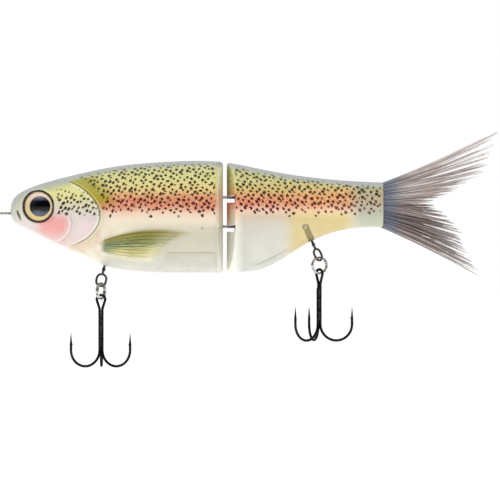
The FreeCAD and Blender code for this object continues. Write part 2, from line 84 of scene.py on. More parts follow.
def named(name: str) -> bpy.types.Object:
    """Names the active object and its mesh.

    Args:
        name: the piece's name.

    Returns:
        The active object.
    """
    piece = bpy.context.object
    piece.name = name
    piece.data.name = name
    return piece


def settle(piece: bpy.types.Object) -> None:
    """Puts a piece's place into its mesh, so that its object sits at the origin."""
    choose(piece)
    bpy.ops.object.transform_apply(location=True, rotation=True, scale=True)


def modify(piece: bpy.types.Object, kind: str, **settings: object) -> None:
    """Adds a modifier and applies it.

    Args:
        piece: the mesh object.
        kind: the modifier's type.
        **settings: the modifier's properties.
    """
    choose(piece)
    modifier = piece.modifiers.new(kind.lower(), kind)
    for key, value in settings.items():
        setattr(modifier, key, value)
    bpy.ops.object.modifier_apply(modifier=modifier.name)


def smooth(piece: bpy.types.Object, degrees: float = 38.0) -> None:
    """Shades a piece smooth, with its sharp edges kept."""
    choose(piece)
    bpy.ops.object.shade_smooth_by_angle(angle=math.radians(degrees))


def tidy_skin(piece: bpy.types.Object, merge_mm: float = 0.004) -> None:
    """Merges doubled points and turns the faces outwards.

    Args:
        piece: the mesh object.
        merge_mm: points closer than this become one.
    """
    choose(piece)
    bpy.ops.object.mode_set(mode="EDIT")
    bpy.ops.mesh.select_all(action="SELECT")
    bpy.ops.mesh.remove_doubles(threshold=merge_mm * MM)
    bpy.ops.mesh.normals_make_consistent(inside=False)
    bpy.ops.object.mode_set(mode="OBJECT")


def pick_faces(piece: bpy.types.Object, wanted: Callable[[bpy.types.MeshPolygon], bool]) -> None:
    """Selects the faces that pass a test and leaves the active piece in edit mode.

    Args:
        piece: the active mesh object.
        wanted: the test for one face.
    """
    bpy.ops.object.mode_set(mode="EDIT")
    bpy.ops.mesh.select_mode(type="FACE")
    bpy.ops.mesh.select_all(action="DESELECT")
    bpy.ops.object.mode_set(mode="OBJECT")
    for face in piece.data.polygons:
        face.select = wanted(face)
    bpy.ops.object.mode_set(mode="EDIT")


def points_of(piece: bpy.types.Object) -> np.ndarray:
    """The piece's points in millimetres, one row each.

    Args:
        piece: the mesh object.

    Returns:
        The points.
    """
    flat = np.zeros(len(piece.data.vertices) * 3)
    piece.data.vertices.foreach_get("co", flat)
    return flat.reshape(-1, 3) / MM


def place_points(piece: bpy.types.Object, points: np.ndarray) -> None:
    """Moves the piece's points to new places, in millimetres."""
    piece.data.vertices.foreach_set("co", (points * MM).ravel())
    piece.data.update()


def store(piece: bpy.types.Object, name: str, values: np.ndarray) -> None:
    """Stores one number for each point, for the piece's finish to read."""
    layer = piece.data.attributes.new(name, "FLOAT", "POINT")
    layer.data.foreach_set("value", values.astype(np.float32))


def soft_least(values: np.ndarray, cap: float, blend: float) -> np.ndarray:
    """The smaller of each value and a cap, with the corner between them rounded over blend."""
    smaller = np.minimum(values, cap)
    return smaller - blend * np.log1p(np.exp(-np.abs(values - cap) / blend))


def step(value: np.ndarray, low: float, high: float) -> np.ndarray:
    """A smooth step from 0 at low to 1 at high."""
    t = np.clip((value - low) / (high - low), 0.0, 1.0)
    return t * t * (3.0 - 2.0 * t)


def dress(piece: bpy.types.Object, material: bpy.types.Material) -> None:
    """Gives a piece its one material."""
    piece.data.materials.clear()
    piece.data.materials.append(material)


def dress_node(node: str, material: bpy.types.Material) -> None:
    """Gives a CAD node a better material through its object's slots."""
    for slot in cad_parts[node].material_slots:
        slot.material = material


def hand_over(piece: bpy.types.Object, body: str, slot: str, *nodes: str) -> None:
    """Hands a finished piece over: hides the CAD nodes that it stands for and hangs it on the body that it
    rides on.

    Args:
        piece: the mesh object.
        body: the body that it rides on.
        slot: its material slot; not used.
        *nodes: the CAD nodes that it replaces.
    """
    if nodes:
        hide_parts(*nodes)
    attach(piece, body)
    LOG.info("%s: %d faces, on %s", piece.name, len(piece.data.polygons), body)


# ---------------------------------------------------------------- shader writing
def linear(colour: Colour) -> tuple[float, float, float, float]:
    """A display colour from 0 to 255 as linear light with full alpha.

    Args:
        colour: red, green and blue from 0 to 255.

    Returns:
        Red, green, blue and alpha.
    """
    parts = [c / 255.0 for c in colour]
    light = [c / 12.92 if c <= 0.04045 else ((c + 0.055) / 1.055) ** 2.4 for c in parts]
    return (*light, 1.0)


class Num:
    """A number that varies over a surface, written as a Python expression."""

    def __init__(self, finish: "Finish", socket: bpy.types.NodeSocket) -> None:
        """Wraps a node's output.

        Args:
            finish: the finish whose nodes are being written.
            socket: the output that holds the number.
        """
        self.finish = finish
        self.socket = socket

    def _with(self, operation: str, *values: object) -> "Num":
        """Runs one Math node on this number and others."""
        return self.finish.maths(operation, *values)

    def __add__(self, other: object) -> "Num":
        """Sum."""
        return self._with("ADD", self, other)

    __radd__ = __add__

    def __mul__(self, other: object) -> "Num":
        """Product."""
        return self._with("MULTIPLY", self, other)

    __rmul__ = __mul__

    def __sub__(self, other: object) -> "Num":
        """Difference."""
        return self._with("SUBTRACT", self, other)

    def __rsub__(self, other: object) -> "Num":
        """Difference, reflected."""
        return self._with("SUBTRACT", other, self)

    def __truediv__(self, other: object) -> "Num":
        """Quotient."""
        return self._with("DIVIDE", self, other)

    def __abs__(self) -> "Num":
        """Size without sign."""
        return self._with("ABSOLUTE", self)

    def most(self, other: object) -> "Num":
        """The larger of two."""
        return self._with("MAXIMUM", self, other)

    def sine(self) -> "Num":
        """Sine."""
        return self._with("SINE", self)

    def root(self) -> "Num":
        """Square root."""
        return self._with("SQRT", self)

    def rise(self, low: object, high: object) -> "Num":
        """A smooth step from 0 at low to 1 at high; high may be below low for a fall.

        Args:
            low: where the step starts.
            high: where it ends.

        Returns:
            The step.
        """
        inputs = {"Value": self, "From Min": low, "From Max": high}
        node = self.finish.node("ShaderNodeMapRange", {"interpolation_type": "SMOOTHSTEP"}, inputs)
        return Num(self.finish, node.outputs["Result"])

    def band(self, low: float, high: float, soft: float) -> "Num":
        """1 between low and high, falling to 0 over soft on each side."""
        return self.rise(low - soft, low + soft) * self.rise(high + soft, high - soft)


class Finish:
    """One material in the writing."""

    def __init__(self, name: str) -> None:
        """Starts a material with an empty tree, a Principled shader and an output.

        Args:
            name: the material's name.
        """
        self.material = bpy.data.materials.new(name)
        self.material.use_nodes = True
        self.tree = self.material.node_tree
        self.tree.nodes.clear()
        self.shader = self.node("ShaderNodeBsdfPrincipled")
        out = self.node("ShaderNodeOutputMaterial")
        self.tree.links.new(self.shader.outputs["BSDF"], out.inputs["Surface"])

    def node(self, kind: str, settings: dict | None = None,
             inputs: dict | None = None) -> bpy.types.Node:
        """Adds a node.

        Args:
            kind: the node's type.
            settings: its properties; "stops" holds a ramp's (place, colour) pairs.
            inputs: its sockets' values or links, by name or number.

        Returns:
            The node.
        """
        node = self.tree.nodes.new(kind)
        for key, value in (settings or {}).items():
            if key == "stops":
                ramp = node.color_ramp
                for place, colour in value[1:-1]:
                    ramp.elements.new(place).color = colour
                ramp.elements[0].position, ramp.elements[0].color = value[0]
                ramp.elements[-1].position, ramp.elements[-1].color = value[-1]
            else:
                setattr(node, key, value)
        for key, value in (inputs or {}).items():
            self.feed(node.inputs[key], value)
        return node

    def feed(self, socket: bpy.types.NodeSocket, value: object) -> None:
        """Links an output to a socket, or sets its value.

        Args:
            socket: the input.
            value: an output to link, or a plain value.
        """
        if isinstance(value, Num):
            value = value.socket
        if isinstance(value, bpy.types.NodeSocket):
            self.tree.links.new(value, socket)
        else:
            socket.default_value = value

    def maths(self, operation: str, *values: object) -> Num:
        """One Math node, as a number."""
        node = self.node("ShaderNodeMath", {"operation": operation}, dict(enumerate(values)))
        return Num(self, node.outputs[0])

    def constants(self, **values: object) -> None:
        """Sets what is the same all over on the shader's own sockets; _ stands for a space."""
        for key, value in values.items():
            self.shader.inputs[key.replace("_", " ")].default_value = value

    def surface(self, **values: object) -> None:
        """Links what varies to the shader; _ stands for a space."""
        for key, value in values.items():
            self.feed(self.shader.inputs[key.replace("_", " ")], value)

    def place(self) -> bpy.types.NodeSocket:
        """Object coordinates in millimetres.

        Returns:
            The coordinates.
        """
        coords = self.node("ShaderNodeTexCoord").outputs["Object"]
        scaled = self.node("ShaderNodeVectorMath", {"operation": "SCALE"}, {0: coords, "Scale": 1 / MM})
        return scaled.outputs[0]

    def axes(self) -> tuple[Num, Num, Num]:
        """Object coordinates in millimetres, as three numbers."""
        split = self.node("ShaderNodeSeparateXYZ", None, {0: self.place()})
        return tuple(Num(self, socket) for socket in split.outputs)

    def vector(self, *parts: object) -> bpy.types.NodeSocket:
        """A vector from three numbers."""
        return self.node("ShaderNodeCombineXYZ", None, dict(enumerate(parts))).outputs[0]

    def stored(self, name: str) -> Num:
        """A number that the piece stores at its points."""
        node = self.node("ShaderNodeAttribute", {"attribute_name": name})
        return Num(self, node.outputs["Fac"])

    def noise(self, where: bpy.types.NodeSocket, per_mm: float, detail: float = 2.0) -> Num:
        """Soft noise from 0 to 1, with so many waves to a millimetre."""
        inputs = {"Vector": where, "Scale": per_mm, "Detail": detail}
        return Num(self, self.node("ShaderNodeTexNoise", None, inputs).outputs[0])

    def mix(self, amount: object, under: object, over: object) -> bpy.types.NodeSocket:
        """Lays one colour over another by an amount from 0 to 1; a plain triple is a display colour.

        Args:
            amount: how much of the upper colour shows.
            under: the lower colour.
            over: the upper colour.

        Returns:
            The mixed colour.
        """
        node = self.node("ShaderNodeMix", {"data_type": "RGBA"})
        self.feed(node.inputs[0], amount)
        for socket, colour in ((node.inputs[6], under), (node.inputs[7], over)):
            self.feed(socket, linear(colour) if isinstance(colour, tuple) else colour)
        return node.outputs[2]

    def shade(self, colour: bpy.types.NodeSocket, amount: Num) -> bpy.types.NodeSocket:
        """Multiplies a colour by a number."""
        node = self.node("ShaderNodeVectorMath", {"operation": "SCALE"}, {0: colour, "Scale": amount})
        return node.outputs[0]

    def ramp(self, amount: Num, stops: list[tuple[float, Colour]], low: float,
             high: float) -> bpy.types.NodeSocket:
        """A run of display colours along a number; stops are given in that number's own units.

        Args:
            amount: the number that picks the colour.
            stops: (place, colour) pairs.
            low: the number at the run's start.
            high: the number at the run's end.

        Returns:
            The colour.
        """
        t = (amount - low) / (high - low)
        linear_stops = [((place - low) / (high - low), linear(colour)) for place, colour in stops]
        return self.node("ShaderNodeValToRGB", {"stops": linear_stops}, {0: t}).outputs[0]

    def bump(self, height: Num, depth_mm: float) -> None:
        """Feeds the shader's normal with a fine relief."""
        inputs = {"Height": height, "Distance": depth_mm * MM, "Strength": 1.0}
        self.feed(self.shader.inputs["Normal"], self.node("ShaderNodeBump", None, inputs).outputs[0])


# ---------------------------------------------------------------- the body's form
@dataclass(frozen=True)
class Outline:
    """A smooth curve through (x, value) points, read by x."""

    points: tuple[tuple[float, float], ...]

    def __call__(self, x: np.ndarray) -> np.ndarray:
        """The curve's value at each x.

        Args:
            x: places along the bait.

        Returns:
            The value at each.
        """
        given = np.array(self.points)
        knots = np.concatenate([[0.0], np.cumsum(np.hypot(*np.diff(given, axis=0).T))])
        dense = np.linspace(0.0, knots[-1], 1500)
        xs, values = (self._spline(knots, column, dense) for column in given.T)
        return np.interp(x, xs, values)

    @staticmethod
    def _spline(knots: np.ndarray, values: np.ndarray, at: np.ndarray) -> np.ndarray:
        """A natural cubic spline through values at knots, read at other places.

        Args:
            knots: rising places.
            values: the value at each of them.
            at: where to read the curve.

        Returns:
            The curve's value at each place.
        """
        gaps = np.diff(knots)
        count = len(knots)
        system = np.eye(count)
        right = np.zeros(count)
        slopes = np.diff(values) / gaps
        for i in range(1, count - 1):
            system[i, i - 1:i + 2] = gaps[i - 1], 2 * (gaps[i - 1] + gaps[i]), gaps[i]
            right[i] = 6 * (slopes[i] - slopes[i - 1])
        bend = np.linalg.solve(system, right)
        i = np.clip(np.searchsorted(knots, at) - 1, 0, count - 2)
        a, b, gap = knots[i + 1] - at, at - knots[i], gaps[i]
        cubic = (bend[i] * a ** 3 + bend[i + 1] * b ** 3) / (6 * gap)
        left = (values[i] / gap - bend[i] * gap / 6) * a
        return cubic + left + (values[i + 1] / gap - bend[i + 1] * gap / 6) * b


@dataclass(frozen=True)
class BodyForm:
    """The outside of both sections before relief: slab-sided sections along three outlines."""

    back: Outline = Outline((
        (2.0, 1.2), (2.9, 4.9), (5.2, 7.3), (9.5, 9.5), (18.3, 12.3), (29.3, 15.0), (42.5, 17.5),
        (55.7, 18.7), (70.0, 19.3), (80.0, 18.8), (84.0, 18.2), (97.5, 15.5), (115.0, 12.9),
        (128.0, 11.8), (140.0, 11.3)))
    belly: Outline = Outline((
        (2.0, -0.4), (2.9, -2.6), (5.2, -4.3), (9.5, -6.5), (18.3, -10.9), (29.3, -16.0),
        (36.0, -19.0), (42.5, -20.5), (55.7, -21.5), (70.0, -21.7), (86.0, -21.4), (93.1, -20.6),
        (99.7, -17.7), (108.5, -12.2), (117.3, -7.9), (128.3, -5.4), (140.0, -5.1)))
    plan: Outline = Outline((
        (2.0, 1.4), (2.9, 3.4), (5.2, 5.0), (9.5, 6.9), (18.3, 8.9), (29.3, 10.2), (45.0, 10.8),
        (60.0, 10.7), (80.0, 9.9), (97.5, 8.6), (115.0, 6.5), (128.0, 4.9), (140.0, 4.0)))
    power: float = 2.5
    widest: float = 0.54
    samples: int = 500

    def section(self, x: float, rows: int, inset: float = 0.0) -> tuple[np.ndarray, np.ndarray]:
        """Half a cross-section, from the back to the belly, in even steps.

        Args:
            x: place along the bait.
            rows: number of points.
            inset: how far inside the outlines.

        Returns:
            (distance from the middle plane, height) of each point.
        """
        top = float(self.back(x)) - inset
        bottom = float(self.belly(x)) + inset
        half = max(float(self.plan(x)) - inset, 0.2)
        middle = bottom + self.widest * (top - bottom)
        angle = np.linspace(math.pi / 2, -math.pi / 2, self.samples)
        lift = np.sin(angle)
        y = half * np.clip(np.cos(angle), 0.0, 1.0) ** (2 / self.power)
        reach = np.where(lift >= 0, top - middle, middle - bottom)
        z = middle + np.sign(lift) * reach * np.abs(lift) ** (2 / self.power)
        run = np.concatenate([[0.0], np.cumsum(np.hypot(np.diff(y), np.diff(z)))])
        even = np.linspace(0.0, run[-1], rows)
        return np.interp(even, run, y), np.interp(even, run, z)

    def girth(self, points: np.ndarray, columns: int = 140) -> np.ndarray:
        """How far round the section from the back each point is, in millimetres.

        Args:
            points: places in millimetres, one row each.
            columns: how many sections are measured.

        Returns:
            The distances.
        """
        xs = np.linspace(points[:, 0].min(), points[:, 0].max(), columns)
        share = np.linspace(0.0, 1.0, 200)
        heights, lengths = [], []
        for x in xs:
            y, z = self.section(x, 200)
            heights.append(z)
            lengths.append(np.hypot(np.diff(y), np.diff(z)).sum())
        column = np.clip(np.searchsorted(xs, points[:, 0]) - 1, 0, columns - 2)
        result = np.zeros(len(points))
        for i in range(columns - 1):
            here = column == i
            if here.any():
                z = np.clip(points[here, 2], heights[i][-1], heights[i][0])
                result[here] = np.interp(-z, -heights[i], share) * lengths[i]
        return result


@dataclass(frozen=True)
class MouldedLine:
    """A rounded line on the head, as a radius for each direction from its middle."""

    x: float
    z: float
    radii: tuple[tuple[float, float], ...]

    def outside(self, points: np.ndarray) -> np.ndarray:
        """How far each point is outside the line; inside is negative.

        Args:
            points: places in millimetres, one row each.

        Returns:
            The distances.
        """
        east, north = points[:, 0] - self.x, points[:, 2] - self.z
        radius = Outline(self.radii)(np.degrees(np.arctan2(north, east)))
        return np.hypot(east, north) - radius


@dataclass(frozen=True)
class FinForm:
    """The pectoral fin that is moulded into the flank: where it starts and how its rays fan out."""

    root_x: float = 36.0
    top_at_root: float = -9.9
    foot_at_root: float = -14.4
    top_curve: tuple[float, float] = (0.385, -0.0098)
    foot_curve: tuple[float, float] = (-0.40, 0.0125)
    shortest_ray: float = 20.0
    extra_at_top: float = 13.5
    rays: int = 9
    raise_mm: float = 0.45
    ray_mm: float = 0.13

    def across(self, points: np.ndarray) -> np.ndarray:
        """0 along the top ray and 1 along the lowest one.

        Args:
            points: places in millimetres, one row each.

        Returns:
            The share for each point.
        """
        run = points[:, 0] - self.root_x
        top = self.top_at_root + self.top_curve[0] * run + self.top_curve[1] * run ** 2
        foot = self.foot_at_root + self.foot_curve[0] * run + self.foot_curve[1] * run ** 2
        return (top - points[:, 2]) / np.maximum(top - foot, 0.5)

    def along(self, points: np.ndarray) -> np.ndarray:
        """0 at the root and 1 at each ray's end.

        Args:
            points: places in millimetres, one row each.

        Returns:
            The share for each point.
        """
        across = np.clip(self.across(points), 0.0, 1.0)
        length = self.shortest_ray + self.extra_at_top * (1.0 - across) ** 1.5
        return (points[:, 0] - self.root_x) / length

    def height(self, points: np.ndarray) -> np.ndarray:
        """The fin's relief over the flank.

        Args:
            points: places in millimetres, one row each.

        Returns:
            The relief in millimetres.
        """
        across, along = self.across(points), self.along(points)
        inside = step(across, -0.05, 0.04) * step(-across, -1.04, -0.93)
        inside *= step(along, -0.04, 0.03) * step(-along, -1.0, -0.9)
        fall = 1.0 - 0.55 * np.clip(along, 0, 1)
        rays = np.cos(2 * math.pi * self.rays * across) * step(along, 0.05, 0.3)
        return inside * (self.raise_mm * fall + self.ray_mm * rays)


# ---------------------------------------------------------------- finishes
@dataclass(frozen=True)
class TroutPaint:
    """Paint of the mouldings: bands, spots, cheek and fin under gloss, and clear plastic at the belly."""

    spot_spacing: float = 1.72
    spot_turn: float = 0.58
    spot_scatter: float = 0.56
    spot_ripple: float = 0.7
    eye: tuple[float, float] = (12.65, 2.55)
    section_gap_x: float = 80.6
    stalk_fade: tuple[float, float] = (124.0, 131.0)
    weight_heights: tuple[float, float] = (-14.55, -14.2)
    weight_run: tuple[float, float] = (59.5, 76.8)
    wire_end: tuple[float, float] = (72.3, -5.5)
    chamber_floor: tuple[float, float] = (92.3, -18.9)
    chamber_slope: float = 0.5
    swivel: tuple[float, float] = (111.6, -8.2)
    swivel_lean: float = 0.45
    back_grey: Colour = (186, 193, 188)
    spine_olive: Colour = (116, 124, 102)

    def make(self) -> bpy.types.Material:
        """Writes the paint's nodes.

        Returns:
            The finished material.
        """
        f = Finish("trout_paint")
        x, _, z = f.axes()
        where = f.place()
        level = z + (f.noise(where, 0.12) - 0.5) * 2.2
        rear = x.rise(self.section_gap_x, self.section_gap_x + 0.2)
        colour = self._flank(f, x, level, rear)
        colour = self._scales(f, colour, z)
        colour = self._back(f, colour)
        colour, in_head = self._head(f, colour, x, z, where)
        colour = self._fin(f, colour)
        colour = self._spots(f, colour, x, z, in_head)
        colour = self._lines(f, colour)
        grain = f.noise(where, 0.5, 3.0)
        f.surface(Base_Color=f.shade(colour, 0.96 + grain * 0.08))
        f.surface(Alpha=self._alpha(f, x, z, in_head, rear))
        f.surface(Roughness=0.16 + grain * 0.12)
        f.bump(f.noise(where, 1.3, 3.0), 0.012)
        f.constants(Coat_Weight=0.5, Coat_Roughness=0.08, IOR=1.46)
        return f.material

    def _flank(self, f: Finish, x: Num, level: Num, rear: Num) -> bpy.types.NodeSocket:
        """The bands from belly to shoulder, for the front and the rear section.

        Args:
            f: the finish in the writing.
            x: place along the bait.
            level: height, with a slow waver.
            rear: 1 on the rear section.

        Returns:
            The bands.
        """
        front = f.ramp(level, [
            (-22, (240, 240, 230)), (-14, (228, 224, 202)), (-7, (224, 217, 192)), (-2, (228, 214, 190)),
            (0.2, (234, 200, 174)), (2.2, (212, 136, 112)), (4.2, (198, 100, 80)),
            (6.4, (208, 136, 94)), (8.8, (216, 192, 122)), (13, (212, 208, 134)), (18, (208, 210, 150))],
            -22, 20)
        back_half = f.ramp(level, [
            (-22, (234, 236, 226)), (-9, (236, 234, 224)), (-2.6, (232, 222, 202)), (0.8, (236, 200, 178)),
            (3.6, (206, 108, 88)), (6.2, (212, 132, 92)), (8.6, (206, 176, 106)),
            (11.6, (200, 192, 124)), (18, (196, 198, 136))], -22, 20)
        under = level.rise(2.5, -1.5)
        milk = f.noise(f.place(), 0.16, 3.0).rise(0.42, 0.66) * level.rise(-2, -8)
        front = f.mix(milk * 0.25, front, (212, 206, 186))
        back_half = f.mix(milk * 0.3, back_half, (212, 208, 194))
        yellow = x.rise(100, 108) * x.rise(133, 122) * under
        back_half = f.mix(yellow * 0.85, back_half, (238, 216, 140))
        orange = x.rise(95, 112) * x.rise(133, 124) * level.band(0.5, 8, 1.8)
        back_half = f.mix(orange * 0.4, back_half, (226, 164, 104))
        stalk = x.rise(*self.stalk_fade)
        back_half = f.mix(stalk * 0.88, back_half, f.ramp(level, [
            (-6, (186, 192, 166)), (2, (160, 164, 146)), (9, (150, 146, 120)), (14, (150, 150, 110))],
            -8, 16))
        colour = f.mix(rear, front, back_half)
        edge = x.rise(83.2, 81.5) * rear
        # On the rear section's front face: the darker olive high up is painted shade from the gap between
        # the sections, laid over the band's olive; the orange and cream below follow the bands.
        colour = f.mix(edge * level.rise(4, 9) * 0.75, colour, (138, 116, 20))
        colour = f.mix(edge * level.band(-2, 6, 2) * 0.7, colour, (214, 122, 62))
        colour = f.mix(edge * level.rise(-2, -6) * 0.5, colour, (240, 230, 190))
        lip = x.rise(77.2, 78.2) * (1 - rear)
        colour = f.mix(lip * level.band(-1, 8, 2.5) * 0.6, colour, (246, 190, 140))
        # Near-white over the lip is painted light, making the bevel paler where its clear edge lets light
        # through.
        colour = f.mix(lip * 0.35, colour, (252, 250, 238))
        # Darker grey lines along the lip's front border and the section's rear end.
        lip_border_lines = x.band(77.3, 77.5, 0.25).most(x.rise(79.3, 79.7)) * (1 - rear)
        return f.mix(lip_border_lines * 0.4, colour, (140, 142, 118))

    def _scales(self, f: Finish, colour: bpy.types.NodeSocket, z: Num) -> bpy.types.NodeSocket:
        """A fine printed scale pattern of pale flecks above the band's lower edge.

        Args:
            f: the finish in the writing.
            colour: the colour so far.
            z: height.

        Returns:
            The colour with its flecks.
        """
        u = f.axes()[0]
        v = f.stored("girth")
        mesh = f.node("ShaderNodeTexVoronoi", {"voronoi_dimensions": "2D", "feature": "DISTANCE_TO_EDGE"},
                      {"Vector": f.vector(u * 1.1, v * 1.3, 0.0), "Scale": 1.0})
        edge = Num(f, mesh.outputs["Distance"]).rise(0.14, 0.02)
        fleck = f.noise(f.vector(u * 1.5, v * 1.1, 3.0), 1.4, 2.0).rise(0.5, 0.64)
        light = (edge * 0.4).most(fleck * 0.75) * z.rise(0.5, 4)
        colour = f.mix(light * 0.6, colour, (250, 240, 184))
        shadow = f.noise(f.vector(u * 1.2, v * 1.2, 9.0), 1.1, 2.0).rise(0.56, 0.7) * z.rise(5, 9)
        return f.mix(shadow * 0.22, colour, (146, 136, 56))

    @staticmethod
    def _spine(f: Finish, where: bpy.types.NodeSocket) -> Num:
        """1 along the ragged dark line in the middle of the back."""
        return (f.stored("back_gap") + (f.noise(where, 0.9, 4.0) - 0.5) * 0.5).rise(0.42, 0.02)

    @staticmethod
    def _apart(x: Num, z: Num, middle: tuple[float, float]) -> Num:
        """Distance from a place on the flank, seen from the side."""
        return ((x - middle[0]) * (x - middle[0]) + (z - middle[1]) * (z - middle[1])).root()

    def _back(self, f: Finish, colour: bpy.types.NodeSocket) -> bpy.types.NodeSocket:
        """The blue-grey strip along the back.

        Args:
            f: the finish in the writing.
            colour: the colour so far.

        Returns:
            The colour with the strip.
        """
        gap = f.stored("back_gap")
        soft = f.noise(f.place(), 0.6) * 0.9
        strip = (gap + soft).rise(3.0, 1.5)
        grey = f.mix(self._spine(f, f.place()) * 0.6, self.back_grey, self.spine_olive)
        return f.mix(strip * 0.95, colour, grey)

    def _head(self, f: Finish, colour: bpy.types.NodeSocket, x: Num, z: Num,
              where: bpy.types.NodeSocket) -> tuple[bpy.types.NodeSocket, Num]:
        """Pearl gill plate, yellow crown, pink cheek, the olive patch behind the gill and painted shade just
        behind the gill plate's edge.

        Args:
            f: the finish in the writing.
            colour: the colour so far.
            x: place along the bait.
            z: height.
            where: object coordinates in millimetres.

        Returns:
            The colour, and a number that is 1 on the head.
        """
        gill = f.stored("gill")
        cheek = f.stored("cheek")
        gap = f.stored("back_gap")
        soft = f.noise(where, 0.3)
        inside = gill.rise(0.12, -0.12)
        patch = gill.rise(9.0, 3.0) * gill.rise(-0.1, 0.5) * z.rise(1.0, 6.0) * gap.rise(1.4, 2.6)
        colour = f.mix(patch * x.rise(58, 34) * (0.55 + soft * 0.6), colour, (158, 152, 30))
        blush = gill.rise(6.0, 0.5) * z.band(-14.0, -9.5, 1.6) * (1 - inside)
        colour = f.mix(blush * 0.45, colour, (222, 156, 136))
        # Painted shade: a soft darker olive-grey just behind the gill plate's edge.
        painted_gill_shade = gill.rise(3.6, 0.2) * (1 - inside) * z.rise(-12.5, -9.0) * z.rise(3.0, 0.0)
        colour = f.mix(painted_gill_shade * 0.35, colour, (176, 164, 124))
        mottle = f.noise(where, 0.42, 4.0)
        skin = gill.rise(14.0, 3.0) * (1 - inside) * z.rise(-3.0, -8.0) * x.rise(50, 38)
        colour = f.mix(skin * mottle.rise(0.45, 0.6) * 0.6, colour, (208, 176, 160))
        colour = f.mix(skin * mottle.rise(0.46, 0.36) * 0.5, colour, (204, 200, 148))
        height_tone = f.ramp(z, [(-14, (216, 196, 186)), (-6, (214, 200, 194)), (-0.5, (218, 208, 200)),
                           (3.0, (214, 206, 176)), (6.5, (224, 216, 150)), (9.5, (220, 218, 150)),
                           (12, (196, 202, 160))], -14, 14)
        tick = f.noise(where, 3.6, 2.0).rise(0.5, 0.58) * z.band(-4.0, 2.2, 1.8) * x.rise(20.0, 24.0)
        height_tone = f.mix(tick * 0.45, height_tone, (168, 164, 154))
        face = f.mix(x.rise(9.5, 3.5), height_tone, (194, 198, 180))
        crown = (gap + soft).rise(4.6, 1.4)
        top = f.mix(gap.rise(4.4, 1.6), (156, 165, 150), self.back_grey)
        top = f.mix(self._spine(f, where) * 0.6, top, self.spine_olive)
        face = f.mix(crown * 0.95, face, top)
        drift = cheek + (f.noise(where, 0.35, 2.0) - 0.5) * 2.2
        pink = drift.rise(0.8, -3.4) * z.rise(1.6, -2.8) * x.rise(6.5, 14.5) * z.rise(-11.5, -5.5)
        face = f.mix(pink * 0.78, face, (226, 136, 132))
        rosy = x.band(11.5, 22.0, 5.0) * z.rise(-4.5, -8.5)
        face = f.mix(rosy * 0.3, face, (240, 178, 172))
        lavender = cheek.rise(1.2, 3.0) * z.rise(0.5, -4.5) * gill.rise(0.0, -2.0)
        face = f.mix(lavender * 0.35, face, (232, 206, 214))
        return f.mix(inside, colour, face), inside

    def _fin(self, f: Finish, colour: bpy.types.NodeSocket) -> bpy.types.NodeSocket:
        """Green and olive rays over a yellow fin, fading to its trailing edge.

        Args:
            f: the finish in the writing.
            colour: the colour so far.

        Returns:
            The colour with the fin.
        """
        along, across = f.stored("fin_along"), f.stored("fin_across")
        ragged = along + (f.noise(f.vector(across * 22.0, 0.0, 0.0), 1.0, 1.0) - 0.5) * 0.22
        inside = across.rise(-0.05, 0.04) * across.rise(1.05, 0.88)
        inside = inside * along.rise(-0.06, 0.05) * ragged.rise(1.0, 0.86)
        wander = f.noise(f.vector(along * 4.0, across * 9.0, 0.0), 1.0) * 3.0
        wave = (across * (2 * math.pi * FIN.rays) + math.pi + wander).sine() * 0.5 + 0.5
        fine = f.noise(f.vector(along * 5.0, across * 55.0, 0.0), 1.0, 1.0)
        body = f.ramp(across, [(0.0, (146, 136, 44)), (0.2, (138, 134, 48)), (0.42, (136, 146, 74)),
                               (0.62, (204, 198, 124)), (0.85, (222, 214, 154)), (1.0, (228, 222, 184))],
                      0.0, 1.0)
        deep = across.band(0.26, 0.6, 0.14) * along.rise(1.0, 0.25)
        dark = f.mix(deep, (96, 90, 32), (46, 76, 52))
        body = f.mix(wave * along.rise(1.05, 0.45) * (0.55 + 0.45 * deep), body, dark)
        body = f.mix(fine.rise(0.52, 0.68) * along.rise(1.0, 0.5) * 0.5, body, dark)
        body = f.mix(fine.rise(0.46, 0.3) * across.rise(0.2, 0.5) * 0.6, body, (236, 226, 164))
        blot = across.band(0.35, 0.95, 0.25) * along.rise(0.3, 0.02)
        body = f.mix(blot * 0.7, body, (70, 98, 70))
        thin = along.rise(0.55, 1.0) * 0.45
        return f.mix(inside * (1.0 - 0.35 * across.rise(0.75, 1.0)) * (1 - thin), colour, body)

    def _spots(self, f: Finish, colour: bpy.types.NodeSocket, x: Num, z: Num,
               in_head: Num) -> bpy.types.NodeSocket:
        """Brown-black spots, one to a cell, of uneven size and shape.

        Args:
            f: the finish in the writing.
            colour: the colour so far.
            x: place along the bait.
            z: height.
            in_head: 1 on the head.

        Returns:
            The colour with its spots.
        """
        girth = f.stored("girth")
        turn_cos, turn_sin = math.cos(self.spot_turn), math.sin(self.spot_turn)
        place = f.vector(x * turn_cos + girth * turn_sin, girth * turn_cos - x * turn_sin, 0.0)
        ripple = f.node("ShaderNodeTexNoise", {"noise_dimensions": "2D"},
                        {"Vector": place, "Scale": 1.5, "Detail": 2.0}).outputs[1]
        shifted = f.node("ShaderNodeVectorMath", {"operation": "MULTIPLY_ADD"},
                         {0: ripple, 1: (self.spot_ripple, self.spot_ripple, 0.0), 2: place}).outputs[0]
        cells = f.node("ShaderNodeTexVoronoi", {"voronoi_dimensions": "2D"},
                       {"Vector": shifted, "Scale": 1 / self.spot_spacing,
                        "Randomness": self.spot_scatter})
        reach = Num(f, cells.outputs["Distance"])
        luck = f.node("ShaderNodeSeparateColor", None, {0: cells.outputs["Color"]}).outputs
        size, chance = Num(f, luck[0]), Num(f, luck[1])
        size = 0.22 + size * 0.15 + (f.noise(place, 1.7, 1.0) - 0.5) * 0.38 + in_head * 0.02
        middle = f.node("ShaderNodeSeparateXYZ", None, {0: cells.outputs["Position"]}).outputs
        below = Num(f, middle[0]) * turn_sin + Num(f, middle[1]) * turn_cos - f.stored("girth_level")
